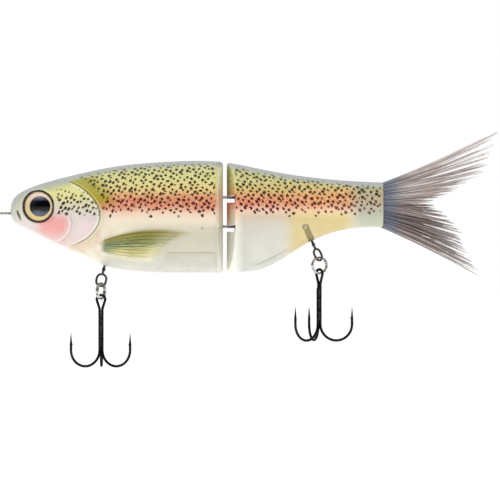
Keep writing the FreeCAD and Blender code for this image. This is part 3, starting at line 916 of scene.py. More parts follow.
        border = 0.4 + (chance - 0.5) * 3.0
        there = below.rise(border + 0.05, border - 0.05)
        there = there * f.stored("back_gap").rise(0.7, 1.7)
        head_zone = below.rise(1.2, 1.1) * below.rise(-8.6, -8.5) * x.rise(18.6, 19.2)
        head_zone = head_zone * self._apart(x, z, self.eye).rise(7.2, 7.4)
        there = there * (1 - in_head) + head_zone * in_head
        bare = f.stored("gill").band(-0.1, 3.0, 0.2) * z.rise(1.5, 3.5)
        there = there * (1 - bare)
        there = there * x.band(18.0, 77.0, 0.15).most(x.band(84.4, 137.6, 0.15))
        high = z.rise(4.0, 8.5) * in_head
        size = size * (1.0 - 0.35 * high)
        mask = reach.rise(size + 0.05, size - 0.03) * there
        faded = f.stored("back_gap").rise(3.2, 1.4)
        ink = f.mix(z.band(0.5, 6.5, 1.5), (40, 32, 8), (76, 14, 6))
        ink = f.mix(in_head, ink, (28, 20, 10))
        ink = f.mix(faded * 0.7, ink, (104, 110, 78))
        ink = f.mix(high * 0.8, ink, (112, 118, 52))
        return f.mix(mask * 0.96, colour, ink)

    def _lines(self, f: Finish, colour: bpy.types.NodeSocket) -> bpy.types.NodeSocket:
        """Painted shade lines and painted highlights at the gill, the cheek and the mouth, and faint lines
        of the parts inside.

        Args:
            f: the finish in the writing.
            colour: the colour so far.

        Returns:
            The colour with its lines.
        """
        x, _, z = f.axes()
        gill, cheek, slit = f.stored("gill"), f.stored("cheek"), f.stored("slit")
        on_plate = z.rise(-13.0, -10.0) * x.rise(22.0, 25.0)
        # The gill plate's edge: a dark painted shade line, a painted yellow glint behind it and a painted
        # highlight just inside it.
        gill_line_shade = f.mix(z.rise(-1.0, 5.0), (136, 134, 96), (96, 90, 36))
        colour = f.mix(gill.band(-0.06, 0.3, 0.12) * on_plate * 0.95, colour, gill_line_shade)
        glint = f.mix(z.rise(-3.0, 4.0), (236, 230, 214), (226, 214, 120))
        colour = f.mix(gill.band(0.5, 0.85, 0.15) * on_plate * 0.7, colour, glint)
        colour = f.mix(gill.band(-0.75, -0.35, 0.15) * on_plate * 0.5, colour, (246, 242, 222))
        low = z.rise(0.5, -2.5) * x.rise(14.0, 18.5)
        # The cheek's edge: a dark painted shade line in its groove and a painted highlight on its lip.
        colour = f.mix(cheek.band(-0.15, 0.2, 0.15) * low * 0.5, colour, (176, 158, 142))
        colour = f.mix(cheek.band(-0.9, -0.45, 0.2) * low * 0.55, colour, (246, 230, 224))
        floor_x, floor_z = self.chamber_floor
        floor_line = abs(z - floor_z - (x - floor_x) * self.chamber_slope).rise(0.4, 0.1)
        colour = f.mix(floor_line * x.band(92.0, 103.5, 1.0) * 0.45, colour, (160, 160, 150))
        weight_top = z.band(*self.weight_heights, 0.14) * x.band(*self.weight_run, 0.4)
        weight_end = x.band(76.6, 76.9, 0.14) * z.band(-19.0, -14.4, 0.3)
        colour = f.mix(weight_top.most(weight_end * 0.6) * 0.5, colour, (132, 128, 92))
        pin_end = self._apart(x, z, self.wire_end).rise(0.8, 0.4)
        leg = z.band(self.wire_end[1] - 0.15, self.wire_end[1] + 0.15, 0.12)
        leg = leg * x.band(self.wire_end[0], 79.0, 0.3)
        colour = f.mix(pin_end.most(leg * 0.6) * 0.55, colour, (158, 140, 112))
        # The dark olive in the mouth slit is painted shade.
        width = 0.2 + 0.3 * z.band(-1.2, 0.2, 0.9)
        return f.mix(slit.rise(width + 0.14, width - 0.06) * 0.9, colour, (84, 76, 46))

    def _alpha(self, f: Finish, x: Num, z: Num, in_head: Num, rear: Num) -> Num:
        """How opaque the moulding is: clear plastic shows at the belly.

        Args:
            f: the finish in the writing.
            x: place along the bait.
            z: height.
            in_head: 1 on the head.
            rear: 1 on the rear section.

        Returns:
            The alpha.
        """
        along, across = f.stored("fin_along"), f.stored("fin_across")
        fin = across.band(0.0, 1.0, 0.05) * along.band(0.0, 0.9, 0.1)
        low_front = z.rise(-2.0, -9.0) * x.rise(40.0, 54.0) * (1 - in_head) * (1 - fin * 0.85)
        throat = z.rise(-14.0, -17.5) * x.rise(33.0, 38.0) * (1 - fin)
        low_rear = z.rise(1.5, -2.5) * x.rise(130.0, 122.0) * x.rise(84.0, 88.0)
        over_swivel = abs((x - self.swivel[0]) + (z - self.swivel[1]) * self.swivel_lean).rise(2.4, 0.9)
        over_swivel = over_swivel * z.band(-14.0, -3.6, 0.8)
        clear_front = low_front.most(throat * 0.7) * 0.5
        clear_rear = (low_rear * 0.44).most(over_swivel * 0.8)
        lip = x.rise(77.0, 78.4) * 0.3
        return 1.0 - (clear_front.most(lip) * (1 - rear) + clear_rear * rear)


@dataclass(frozen=True)
class Metal:
    """Bright or plated wire."""

    name: str
    colour: Colour
    dark: Colour
    roughness: float
    metallic: float = 1.0
    edge: float = 1.0

    def make(self) -> bpy.types.Material:
        """Writes the metal's nodes.

        Returns:
            The finished material.
        """
        f = Finish(self.name)
        where = f.place()
        worn = f.noise(where, 0.9, 4.0)
        fine = f.noise(where, 7.0, 3.0)
        f.surface(Base_Color=f.mix(worn.rise(0.35, 0.7), self.colour, self.dark))
        f.surface(Roughness=self.roughness + (fine - 0.5) * 0.12)
        f.bump(fine, 0.006)
        f.constants(Metallic=self.metallic, Coat_Weight=0.12, Coat_Roughness=0.08)
        f.constants(Specular_Tint=(self.edge, self.edge, self.edge, 1.0))
        return f.material


@dataclass(frozen=True)
class Plain:
    """A moulded or cast finish with slight mottling."""

    name: str
    colour: Colour
    dark: Colour
    roughness: float = 0.35
    coat: float = 0.0
    per_mm: float = 0.6

    def make(self) -> bpy.types.Material:
        """Writes the nodes.

        Returns:
            The finished material.
        """
        f = Finish(self.name)
        where = f.place()
        patch = f.noise(where, self.per_mm, 4.0)
        f.surface(Base_Color=f.mix(patch, self.colour, self.dark))
        f.surface(Roughness=self.roughness + (patch - 0.5) * 0.15)
        f.bump(f.noise(where, self.per_mm * 5, 3.0), 0.02)
        f.constants(Coat_Weight=self.coat, Coat_Roughness=0.05)
        return f.material


@dataclass(frozen=True)
class IrisFinish:
    """Pearl and gold foil of the eye."""

    name: str = "iris_foil"

    def make(self) -> bpy.types.Material:
        """Writes the foil's nodes.

        Returns:
            The finished material.
        """
        f = Finish(self.name)
        z = f.axes()[2]
        round_eye = f.stored("eye_radius")
        foil = f.ramp(z, [(-3.2, (252, 236, 160)), (-1.2, (246, 226, 160)), (3.0, (226, 204, 166)),
                          (6.0, (236, 212, 184)), (8.2, (244, 226, 208))], -3.2, 8.2)
        foil = f.mix(round_eye.rise(4.95, 5.35), foil, (190, 140, 60))
        foil = f.mix(round_eye.rise(4.2, 3.4) * 0.5, foil, (176, 146, 96))
        fibre = f.noise(f.place(), 1.6, 4.0)
        f.surface(Base_Color=f.shade(foil, 0.88 + fibre * 0.24), Roughness=0.3 + fibre * 0.15)
        f.bump(fibre, 0.03)
        f.constants(Metallic=0.12, Coat_Weight=0.3)
        return f.material


@dataclass(frozen=True)
class PupilFinish:
    """Black pupil with painted reflections: slate grey towards its lower and upper edges."""

    name: str = "pupil_black"

    def make(self) -> bpy.types.Material:
        """Writes the pupil's nodes.

        Returns:
            The finished material.
        """
        f = Finish(self.name)
        z = f.axes()[2]
        level = z + f.noise(f.place(), 0.35, 1.0) * 1.2
        # Painted reflections: slate grey low and high on the pupil, black across its middle.
        height_tone = f.ramp(level, [(-0.6, (112, 116, 132)), (0.9, (92, 94, 112)), (1.9, (4, 4, 6)),
                               (4.9, (3, 3, 5)), (5.8, (84, 84, 106)), (7.0, (160, 156, 168))], -1.2, 7.4)
        f.surface(Base_Color=height_tone, Roughness=0.2 + f.noise(f.place(), 3.0) * 0.1)
        f.constants(Specular_IOR_Level=0.0)
        return f.material


@dataclass(frozen=True)
class LensFinish:
    """Clear dome over the eye."""

    name: str = "clear_lens"

    def make(self) -> bpy.types.Material:
        """Writes the lens's nodes.

        Returns:
            The finished material.
        """
        f = Finish(self.name)
        haze = f.noise(f.place(), 0.8, 2.0)
        clear = f.node("ShaderNodeBsdfTransparent")
        gloss = f.node("ShaderNodeBsdfGlossy", None, {"Roughness": 0.03 + haze * 0.03})
        gloss.inputs["Color"].default_value = (1.0, 1.0, 1.0, 1.0)
        facing = Num(f, f.node("ShaderNodeLayerWeight", None, {"Blend": 0.5}).outputs["Facing"])
        sheen = facing * facing * facing * 0.75 + 0.022
        coat = f.node("ShaderNodeMixShader", None, {0: sheen, 1: clear.outputs[0], 2: gloss.outputs[0]})
        out = next(n for n in f.tree.nodes if n.bl_idname == "ShaderNodeOutputMaterial")
        f.tree.links.new(coat.outputs[0], out.inputs["Surface"])
        f.tree.nodes.remove(f.shader)
        return f.material


@dataclass(frozen=True)
class FibreFinish:
    """Nylon fibres: slate at the root, mauve-brown strands, clear tips."""

    name: str = "tail_fibre"

    def make(self) -> bpy.types.Material:
        """Writes the fibres' nodes.

        Returns:
            The finished material.
        """
        f = Finish(self.name)
        along, luck = f.stored("along"), f.stored("strand")
        strand = f.ramp(luck, [(0.0, (66, 56, 56)), (0.3, (112, 98, 98)), (0.5, (160, 142, 136)),
                               (0.75, (214, 198, 190)), (1.0, (244, 236, 232))], 0.0, 1.0)
        root = f.mix(luck, (98, 106, 124), (146, 152, 166))
        colour = f.mix(along.rise(0.44, 0.14) * 0.95, strand, root)
        colour = f.mix(along.rise(0.6, 1.0) * 0.4, colour, (214, 206, 204))
        f.surface(Base_Color=colour, Alpha=1.0 - along.rise(0.4, 1.0) * (0.08 + luck * 0.3))
        f.surface(Roughness=0.38 + luck * 0.15)
        f.bump(f.noise(f.place(), 2.0, 2.0), 0.01)
        return f.material


# ---------------------------------------------------------------- mouldings
@dataclass
class Moulding:
    """A half shell that is wrapped from one sheet of quads: nose end, flank and tail end."""

    form: BodyForm = field(default_factory=BodyForm)
    rows: int = 116
    wall: float = 0.8
    corner: float = 1.0
    edge_round: float = 0.12
    corner_steps: int = 6
    cap_steps: int = 12

    def stations(self) -> np.ndarray:
        """Places of the flank's columns along the bait."""
        raise NotImplementedError

    def path(self) -> list[tuple[float, float, float]]:
        """The sheet's columns as (x, inset, share), where share closes an end to its middle.

        Returns:
            The columns, from the nose end to the tail end.
        """
        xs = self.stations()
        head, tail = xs[0], xs[-1]
        turns = np.linspace(0, math.pi / 2, self.corner_steps, endpoint=False)
        shares = np.linspace(0, 1, self.cap_steps, endpoint=False)
        r0, r1 = self.end_corners()
        path = [(head, r0, share) for share in shares]
        path += [(head + r0 * (1 - math.cos(t)), r0 * (1 - math.sin(t)), 1.0) for t in turns]
        path += [(x, 0.0, 1.0) for x in xs if head + r0 <= x <= tail - r1]
        path += [(tail - r1 * (1 - math.cos(t)), r1 * (1 - math.sin(t)), 1.0) for t in turns[::-1]]
        path += [(tail, r1, share) for share in shares[::-1]]
        return path

    def end_corners(self) -> tuple[float, float]:
        """Corner radii at the two ends."""
        return self.corner, self.corner

    def limit(self, x: float) -> float:
        """Half width that the ends' bevels allow at x; a plain moulding has none."""
        return 99.0

    def relief(self, piece: bpy.types.Object, side: float) -> None:
        """Sculpts the outside; a plain moulding has none."""

    def sheet(self, name: str, side: float) -> bpy.types.Object:
        """Wraps the sheet of quads round one half of the section.

        Args:
            name: the piece's name.
            side: LEFT or RIGHT.

        Returns:
            The open skin.
        """
        path = self.path()
        deselect()
        bpy.ops.mesh.primitive_grid_add(x_subdivisions=len(path) - 1, y_subdivisions=self.rows - 1, size=2)
        piece = named(name)
        grid = points_of(piece) * MM
        column = np.rint((grid[:, 0] + 1) / 2 * (len(path) - 1)).astype(int)
        row = np.rint((grid[:, 1] + 1) / 2 * (self.rows - 1)).astype(int)
        table = np.zeros((len(path), self.rows, 3))
        for i, (x, inset, share) in enumerate(path):
            y, z = self.form.section(x, self.rows, inset)
            y = soft_least(y, self.limit(x), self.edge_round)
            y[[0, -1]] = 0.0
            centre = (z[0] + z[-1]) / 2
            table[i, :, 0] = x
            table[i, :, 1] = y * share
            table[i, :, 2] = centre + (z - centre) * share
        points = table[column, row]
        points[:, 1] *= side
        place_points(piece, points)
        self._turn_out(piece, side)
        return piece

    def _turn_out(self, piece: bpy.types.Object, side: float) -> None:
        """Merges the closed ends and makes the skin's faces look outwards.

        Args:
            piece: the mesh object.
            side: LEFT or RIGHT.
        """
        choose(piece)
        bpy.ops.object.mode_set(mode="EDIT")
        bpy.ops.mesh.select_all(action="SELECT")
        bpy.ops.mesh.remove_doubles(threshold=0.002 * MM)
        bpy.ops.mesh.normals_make_consistent(inside=False)
        bpy.ops.object.mode_set(mode="OBJECT")
        flank = sum(p.normal.y * p.area for p in piece.data.polygons)
        if flank * side < 0:
            bpy.ops.object.mode_set(mode="EDIT")
            bpy.ops.mesh.select_all(action="SELECT")
            bpy.ops.mesh.flip_normals()
            bpy.ops.object.mode_set(mode="OBJECT")

    def measure(self, piece: bpy.types.Object) -> None:
        """Stores what the paint reads: places on the head, the fin and round the section.

        Args:
            piece: the mesh object.
        """
        points = points_of(piece)
        store(piece, "back_gap", self.form.back(points[:, 0]) - points[:, 2])
        store(piece, "girth", self.form.girth(points))
        store(piece, "girth_level", self.form.girth(points * np.array([1.0, 1.0, 0.0])))
        gill, cheek = GILL.outside(points), CHEEK.outside(points)
        gill = np.where(points[:, 0] < GILL.x, np.minimum(gill, -6.0), gill)
        store(piece, "gill", gill)
        store(piece, "cheek", cheek)
        store(piece, "slit", mouth_distance(points))
        store(piece, "fin_along", FIN.along(points))
        store(piece, "fin_across", FIN.across(points))

    def build(self, name: str, side: float, material: bpy.types.Material) -> bpy.types.Object:
        """Makes one half of the section.

        Args:
            name: the piece's name.
            side: LEFT or RIGHT.
            material: its paint.

        Returns:
            The finished half shell.
        """
        piece = self.sheet(name, side)
        self.relief(piece, side)
        modify(piece, "SOLIDIFY", thickness=self.wall * MM, offset=-1.0, use_even_offset=False)
        self.machine(piece, side)
        self.measure(piece)
        smooth(piece)
        dress(piece, material)
        return piece

    def machine(self, piece: bpy.types.Object, side: float) -> None:
        """Cuts into the finished wall; a plain moulding has no cuts."""


GILL = MouldedLine(23.4, -0.6, (
    (-180, 12.0), (-120, 12.0), (-95, 11.6), (-70, 10.8), (-46, 10.85), (-29, 11.1), (-12, 11.45),
    (0, 11.5), (22, 11.1), (40, 10.7), (62, 10.9), (80, 11.6), (92, 12.4), (120, 13.0), (180, 13.0)))
CHEEK = MouldedLine(17.6, -3.6, (
    (-180, 7.0), (-100, 6.8), (-67, 7.4), (-52, 7.2), (-33, 7.15), (-14, 7.1), (11, 7.0), (24, 6.9),
    (60, 6.6), (180, 7.0)))
FIN = FinForm()
MOUTH = ((4.55, 1.1), (5.75, -2.3))


def mouth_distance(points: np.ndarray) -> np.ndarray:
    """Distance of each point from the mouth's slit, seen from the side.

    Args:
        points: places in millimetres, one row each.

    Returns:
        The distances.
    """
    start, end = (np.array(p) for p in MOUTH)
    run = end - start
    flat = points[:, [0, 2]] - start
    t = np.clip(flat @ run / (run @ run), 0.0, 1.0)
    return np.hypot(*(flat - t[:, None] * run).T)


@dataclass
class EyeSeat:
    """Where an eye sits in the head."""

    x: float = 12.65
    y: float = 6.1
    z: float = 2.55
    toe_in: float = math.radians(13.0)
    bore: float = 5.95
    collar: float = 6.5
    collar_rise: float = 1.15
    blend: float = 1.5

    def axis(self, side: float) -> np.ndarray:
        """The way the eye looks."""
        return np.array([-math.sin(self.toe_in), side * math.cos(self.toe_in), 0.0])

    def centre(self, side: float) -> np.ndarray:
        """The middle of the socket's floor."""
        return np.array([self.x, side * self.y, self.z])

    def press(self, points: np.ndarray, side: float) -> None:
        """Presses the socket and its collar into a skin's points.

        Args:
            points: the skin's points, changed in place.
            side: LEFT or RIGHT.
        """
        axis = self.axis(side)
        offset = points - self.centre(side)
        height = offset @ axis
        radius = np.linalg.norm(offset - height[:, None] * axis, axis=1)
        facing = height > -4.0
        wanted = np.where(radius < self.bore, -0.15, self.collar_rise)
        outside = step(radius, self.collar, self.collar + self.blend)
        weight = np.where(radius < self.collar, 1.0, 1.0 - outside)
        move = (wanted - height) * weight * facing
        points += move[:, None] * axis


@dataclass
class FrontMoulding(Moulding):
    """The front section: head, gill plate, cheek, mouth, eye sockets and fin."""

    nose_x: float = 2.0
    end_x: float = 79.8
    head_end: float = 37.0
    head_step: float = 0.32
    body_step: float = 0.5
    bevel_start: float = 5.5
    bevel_slope: float = 2.2 / 5.1
    mouth_depth: float = 0.42
    mouth_width: float = 0.3
    gill_lip: float = 0.42
    gill_groove: float = 0.2
    cheek_lip: float = 0.22
    cheek_groove: float = 0.12
    seat: EyeSeat = field(default_factory=EyeSeat)

    def stations(self) -> np.ndarray:
        """Columns that crowd at the nose and the head.

        Returns:
            The places in millimetres.
        """
        nose = self.nose_x + np.linspace(0, 1, 26) ** 2 * 4.0
        head = np.arange(6.3, self.head_end, self.head_step)
        return np.concatenate([nose, head, np.arange(self.head_end, self.end_x - 0.1, self.body_step),
                               [self.end_x]])

    def end_corners(self) -> tuple[float, float]:
        """The nose is closed flat and small; the rear edge is rounded."""
        return 0.0, self.corner

    def limit(self, x: float) -> float:
        """The rear edge is bevelled, where the rear section swings."""
        return self.bevel_start + (self.end_x - x) / self.bevel_slope

    def relief(self, piece: bpy.types.Object, side: float) -> None:
        """Raises the gill plate, cheek and fin, cuts the mouth and seats the eye.

        Args:
            piece: the mesh object.
            side: LEFT or RIGHT.
        """
        points = points_of(piece)
        normals = np.zeros(len(points) * 3)
        piece.data.vertices.foreach_get("normal", normals)
        height = FIN.height(points) + self._gill(points) + self._cheek(points)
        height -= self.mouth_depth * np.exp(-(mouth_distance(points) / self.mouth_width) ** 2)
        height *= step(self.end_x - points[:, 0], 0.6, 2.0)
        points += normals.reshape(-1, 3) * height[:, None]
        self.seat.press(points, side)
        place_points(piece, points)

    def _gill(self, points: np.ndarray) -> np.ndarray:
        """Relief of the gill plate: a lip that falls off behind, and a shallow groove after it.

        Args:
            points: places in millimetres, one row each.

        Returns:
            The relief in millimetres.
        """
        out = GILL.outside(points)
        zone = step(points[:, 0], 20.5, 24.5) * step(points[:, 2], -14.5, -10.0)
        zone *= step(-points[:, 2], -12.2, -10.5)
        lip = self.gill_lip * np.exp(np.minimum(out, 0.0) / 4.5) * step(-out, -0.12, 0.18)
        groove = self.gill_groove * np.exp(-((out - 0.35) / 0.32) ** 2)
        return (lip - groove) * zone

    def _cheek(self, points: np.ndarray) -> np.ndarray:
        """Relief of the cheek's rear edge.

        Args:
            points: places in millimetres, one row each.

        Returns:
            The relief in millimetres.
        """
        out = CHEEK.outside(points)
        zone = step(points[:, 0], 12.5, 17.0) * step(-points[:, 2], -1.0, 2.0) * (out < 3)
        lip = self.cheek_lip * np.exp(np.minimum(out, 0.0) / 2.5) * step(-out, -0.15, 0.2)
        return (lip - self.cheek_groove * np.exp(-((out - 0.3) / 0.35) ** 2)) * zone


@dataclass
class RearMoulding(Moulding):
    """The rear section: wedge nose with its two slots, belly, and the tail stalk."""

    start_x: float = 81.27
    end_x: float = 138.6
    wedge_flat: float = 2.2
    wedge_slope: float = 3.4 / 8.15
    wedge_end_x: float = 86.0
    wedge_step: float = 0.2
    column_step: float = 0.5
    pin_x: float = 84.9
    slot_depth_x: float = 84.4
    slot_pocket: float = 2.2
    slot_heights: tuple[float, float] = (5.85, -4.85)
    slot_above: float = 0.65
    slot_below: float = 1.95

    def stations(self) -> np.ndarray:
        """Even columns.

        Returns:
            The places in millimetres.
        """
        wedge = np.arange(self.start_x, self.wedge_end_x, self.wedge_step)
        return np.concatenate([wedge, np.arange(self.wedge_end_x, self.end_x - 0.1, self.column_step),
                               [self.end_x]])

    def end_corners(self) -> tuple[float, float]:
        """Rounded at the joint and small at the stalk's end."""
        return self.corner, 0.5

    def limit(self, x: float) -> float:
        """The front end is a wedge."""
        return self.wedge_flat + (x - self.start_x) / self.wedge_slope

    def relief(self, piece: bpy.types.Object, side: float) -> None:
        """Opens the two slots in the wedge's skin.

        Args:
            piece: the mesh object.
            side: LEFT or RIGHT; not used.
        """
        choose(piece)
        bpy.ops.object.mode_set(mode="EDIT")
        spans = [(h - self.slot_below, h + self.slot_above) for h in self.slot_heights]
        for level in sum(spans, ()):
            self._score((0, 0, level), (0, 0, 1))
        self._score((self.slot_depth_x, 0, 0), (1, 0, 0))
        pick_faces(piece, lambda face: self._in_slot(face.center / MM, spans))
        bpy.ops.mesh.delete(type="FACE")
        bpy.ops.mesh.select_mode(type="VERT")
        bpy.ops.object.mode_set(mode="OBJECT")

    def _in_slot(self, place: Vector, spans: list[tuple[float, float]]) -> bool:
        """Whether a place in millimetres is in one of the slots, given as heights (low, high)."""
        return place.x < self.slot_depth_x and any(low < place.z < high for low, high in spans)

    @staticmethod
    def _score(place: tuple[float, float, float], facing: tuple[float, float, float]) -> None:
        """Cuts edges along a plane through a skin in edit mode; place is in millimetres."""
        bpy.ops.mesh.select_all(action="SELECT")
        bpy.ops.mesh.bisect(plane_co=tuple(c * MM for c in place), plane_no=facing)

    def machine(self, piece: bpy.types.Object, side: float) -> None:
        """Adds the solid nose, with its slots and the wires' pockets cut into it.

        Args:
            piece: the mesh object.
            side: LEFT or RIGHT.
        """
        core = self._core(side)
        for height in self.slot_heights:
            for cutter in self._slot(height):
                modify(core, "BOOLEAN", operation="DIFFERENCE", solver="EXACT", object=cutter)
                bpy.data.objects.remove(cutter)
        deselect()
        core.select_set(True)
        piece.select_set(True)
        bpy.context.view_layer.objects.active = piece
        bpy.ops.object.join()

    def _core(self, side: float) -> bpy.types.Object:
        """The solid nose round the pin, just inside the wall.

        Args:
            side: LEFT or RIGHT.

        Returns:
            The closed block.
        """
        nose = NoseCore(form=self.form, outer=self)
        core = nose.sheet("nose_core", side)
        choose(core)
        bpy.ops.object.mode_set(mode="EDIT")
        bpy.ops.mesh.select_all(action="DESELECT")
        bpy.ops.mesh.select_non_manifold(extend=False, use_wire=False, use_boundary=True,
                                         use_multi_face=False, use_non_contiguous=False, use_verts=False)
        bpy.ops.mesh.edge_face_add()
        bpy.ops.mesh.select_all(action="SELECT")
        bpy.ops.mesh.normals_make_consistent(inside=False)
        bpy.ops.object.mode_set(mode="OBJECT")
        return core

    def _slot(self, height: float) -> list[bpy.types.Object]:
        """The fan and the round pocket that leave one hinge wire free.

        Args:
            height: the wire's height.

        Returns:
            The two cutters.
        """
        low, high = height - self.slot_below, height + self.slot_above
        middle = (low + high) / 2 * MM
        deselect()
        front = self.start_x - 2.0
        bpy.ops.mesh.primitive_cube_add(size=1, location=((front + self.slot_depth_x) / 2 * MM, 0, middle))
        fan = bpy.context.object
        fan.scale = ((self.slot_depth_x - front) * MM, 40 * MM, (high - low) * MM)
        settle(fan)
        deselect()
        bpy.ops.mesh.primitive_cylinder_add(vertices=48, radius=self.slot_pocket * MM,
                                            depth=(high - low) * MM, location=(self.pin_x * MM, 0, middle))
        return [fan, bpy.context.object]


@dataclass
class NoseCore(Moulding):
    """The solid inside the rear section's nose: the same form, a little smaller."""

    outer: Moulding | None = None
    inside: float = 0.35
    back_x: float = 89.0
    column_step: float = 0.4

    def stations(self) -> np.ndarray:
        """Even columns over the nose."""
        return np.arange(self.outer.start_x + self.inside, self.back_x, self.column_step)

    def limit(self, x: float) -> float:
        """The outer wedge, moved inwards."""
        return self.outer.limit(x - self.inside) - self.inside

    def path(self) -> list[tuple[float, float, float]]:
        """The moulding's path, inside the wall all along."""
        return [(x, inset + self.inside, share) for x, inset, share in super().path()]


# ---------------------------------------------------------------- eyes
@dataclass
class Eye:
    """One stepped eye: black rim, foil iris, domed pupil and clear lens."""

    seat: EyeSeat = field(default_factory=EyeSeat)
    rim_radius: float = 5.62
    rim_thick: float = 0.27
    rim_height: float = 0.95
    iris_radius: float = 5.4
    iris_height: float = 0.5
    pupil_radii: tuple[float, float] = (4.0, 3.7)
    pupil_back: float = 0.6
    pupil_bulge: float = 0.42
    lens_rise: float = 1.45
    lens_base: float = 0.9
    lens_foot: float = 0.1

    def _to_head(self, piece: bpy.types.Object, side: float) -> None:
        """Moves a piece from the eye's own frame, where +Z looks out, into the head.

        Args:
            piece: the piece to move.
            side: LEFT or RIGHT.
        """
        settle(piece)
        points = points_of(piece)
        out = self.seat.axis(side)
        up = np.array([0.0, 0.0, 1.0])
        back = np.cross(up, out) * -side
        basis = np.stack([back, up, out])
        place_points(piece, points @ basis + self.seat.centre(side))
        store(piece, "eye_radius", np.hypot(points[:, 0], points[:, 1]))
        tidy_skin(piece)
        smooth(piece, 40)

    def rim(self) -> bpy.types.Object:
        """A rounded black ring.

        Returns:
            The ring.
        """
        deselect()
        bpy.ops.mesh.primitive_torus_add(major_segments=96, minor_segments=18,
                                         major_radius=self.rim_radius * MM, minor_radius=self.rim_thick * MM,
                                         location=(0, 0, self.rim_height * MM))
        ring = named("eye_rim")
        ring.scale = (1, 1, 1.8)
        return ring

    def iris(self) -> bpy.types.Object:
        """A shallow foil dish with a raised edge.

        Returns:
            The dish.
        """
        deselect()
        bpy.ops.mesh.primitive_cylinder_add(vertices=96, radius=self.iris_radius * MM, depth=0.4 * MM,
                                            location=(0, 0, self.iris_height * MM / 2))
        dish = named("eye_iris")
        pick_faces(dish, lambda face: face.normal.z > 0.9)
        for inset, drop in ((0.5, -0.08), (0.9, -0.1), (0.9, -0.04), (0.9, 0.0), (0.9, 0.02)):
            bpy.ops.mesh.inset(thickness=inset * MM)
            bpy.ops.transform.translate(value=(0, 0, drop * MM))
        bpy.ops.object.mode_set(mode="OBJECT")
        return dish

    def _dome(self, name: str, radius: float, rise: float, base: float) -> bpy.types.Object:
        """A closed cap of a sphere, flat side down at base.

        Args:
            name: the piece's name.
            radius: the cap's radius at its flat side.
            rise: its height.
            base: the flat side's height.

        Returns:
            The cap.
        """
        ball = (radius ** 2 + rise ** 2) / (2 * rise)
        deselect()
        bpy.ops.mesh.primitive_uv_sphere_add(segments=72, ring_count=180, radius=ball * MM,
                                             location=(0, 0, (base + rise - ball) * MM))
        dome = named(name)
        settle(dome)
        bpy.ops.object.mode_set(mode="EDIT")
        bpy.ops.mesh.select_all(action="SELECT")
        bpy.ops.mesh.bisect(plane_co=(0, 0, base * MM), plane_no=(0, 0, 1), use_fill=True, clear_inner=True)
        bpy.ops.object.mode_set(mode="OBJECT")
        return dome

    def pupil(self) -> bpy.types.Object:
        """A low dome, set a little back from the eye's middle.

        Returns:
            The dome.
        """
        across, tall = self.pupil_radii
        dome = self._dome("eye_pupil", across, self.pupil_bulge, 0.26)
        dome.scale = (1, tall / across, 1)
        dome.location = (self.pupil_back * MM, 0, 0)
        return dome

    def lens(self) -> bpy.types.Object:
        """The clear dome and the plug under it, whose foot is sunk in the iris.

        Returns:
            The lens.
        """
        lens = self._dome("eye_lens", self.iris_radius, self.lens_rise, self.lens_base)
        pick_faces(lens, lambda face: face.normal.z < -0.9)
        bpy.ops.mesh.extrude_region_move(
            TRANSFORM_OT_translate={"value": (0, 0, (self.lens_foot - self.lens_base) * MM)})
        bpy.ops.object.mode_set(mode="OBJECT")
        return lens

    def build(self, word: str, side: float, finishes: dict[str, bpy.types.Material]) -> None:
        """Makes one eye and hangs its pieces on the front section.

        Args:
            word: left or right.
            side: LEFT or RIGHT.
            finishes: the materials by part.
        """
        parts = {"ring": (self.rim, "eye_rim"), "iris": (self.iris, "iris"),
                 "pupil": (self.pupil, "pupil"), "lens": (self.lens, "lens")}
        for part, (make, slot) in parts.items():
            piece = make()
            self._to_head(piece, side)
            piece.name = f"eye_{part}_{word}_piece"
            dress(piece, finishes[slot])
            hand_over(piece, "front_section", slot, f"eye_{part}_{word}")


# ---------------------------------------------------------------- tail
class Lobe(Enum):
    """The two halves of the fibre tail."""

    UPPER = "upper"
    LOWER = "lower"


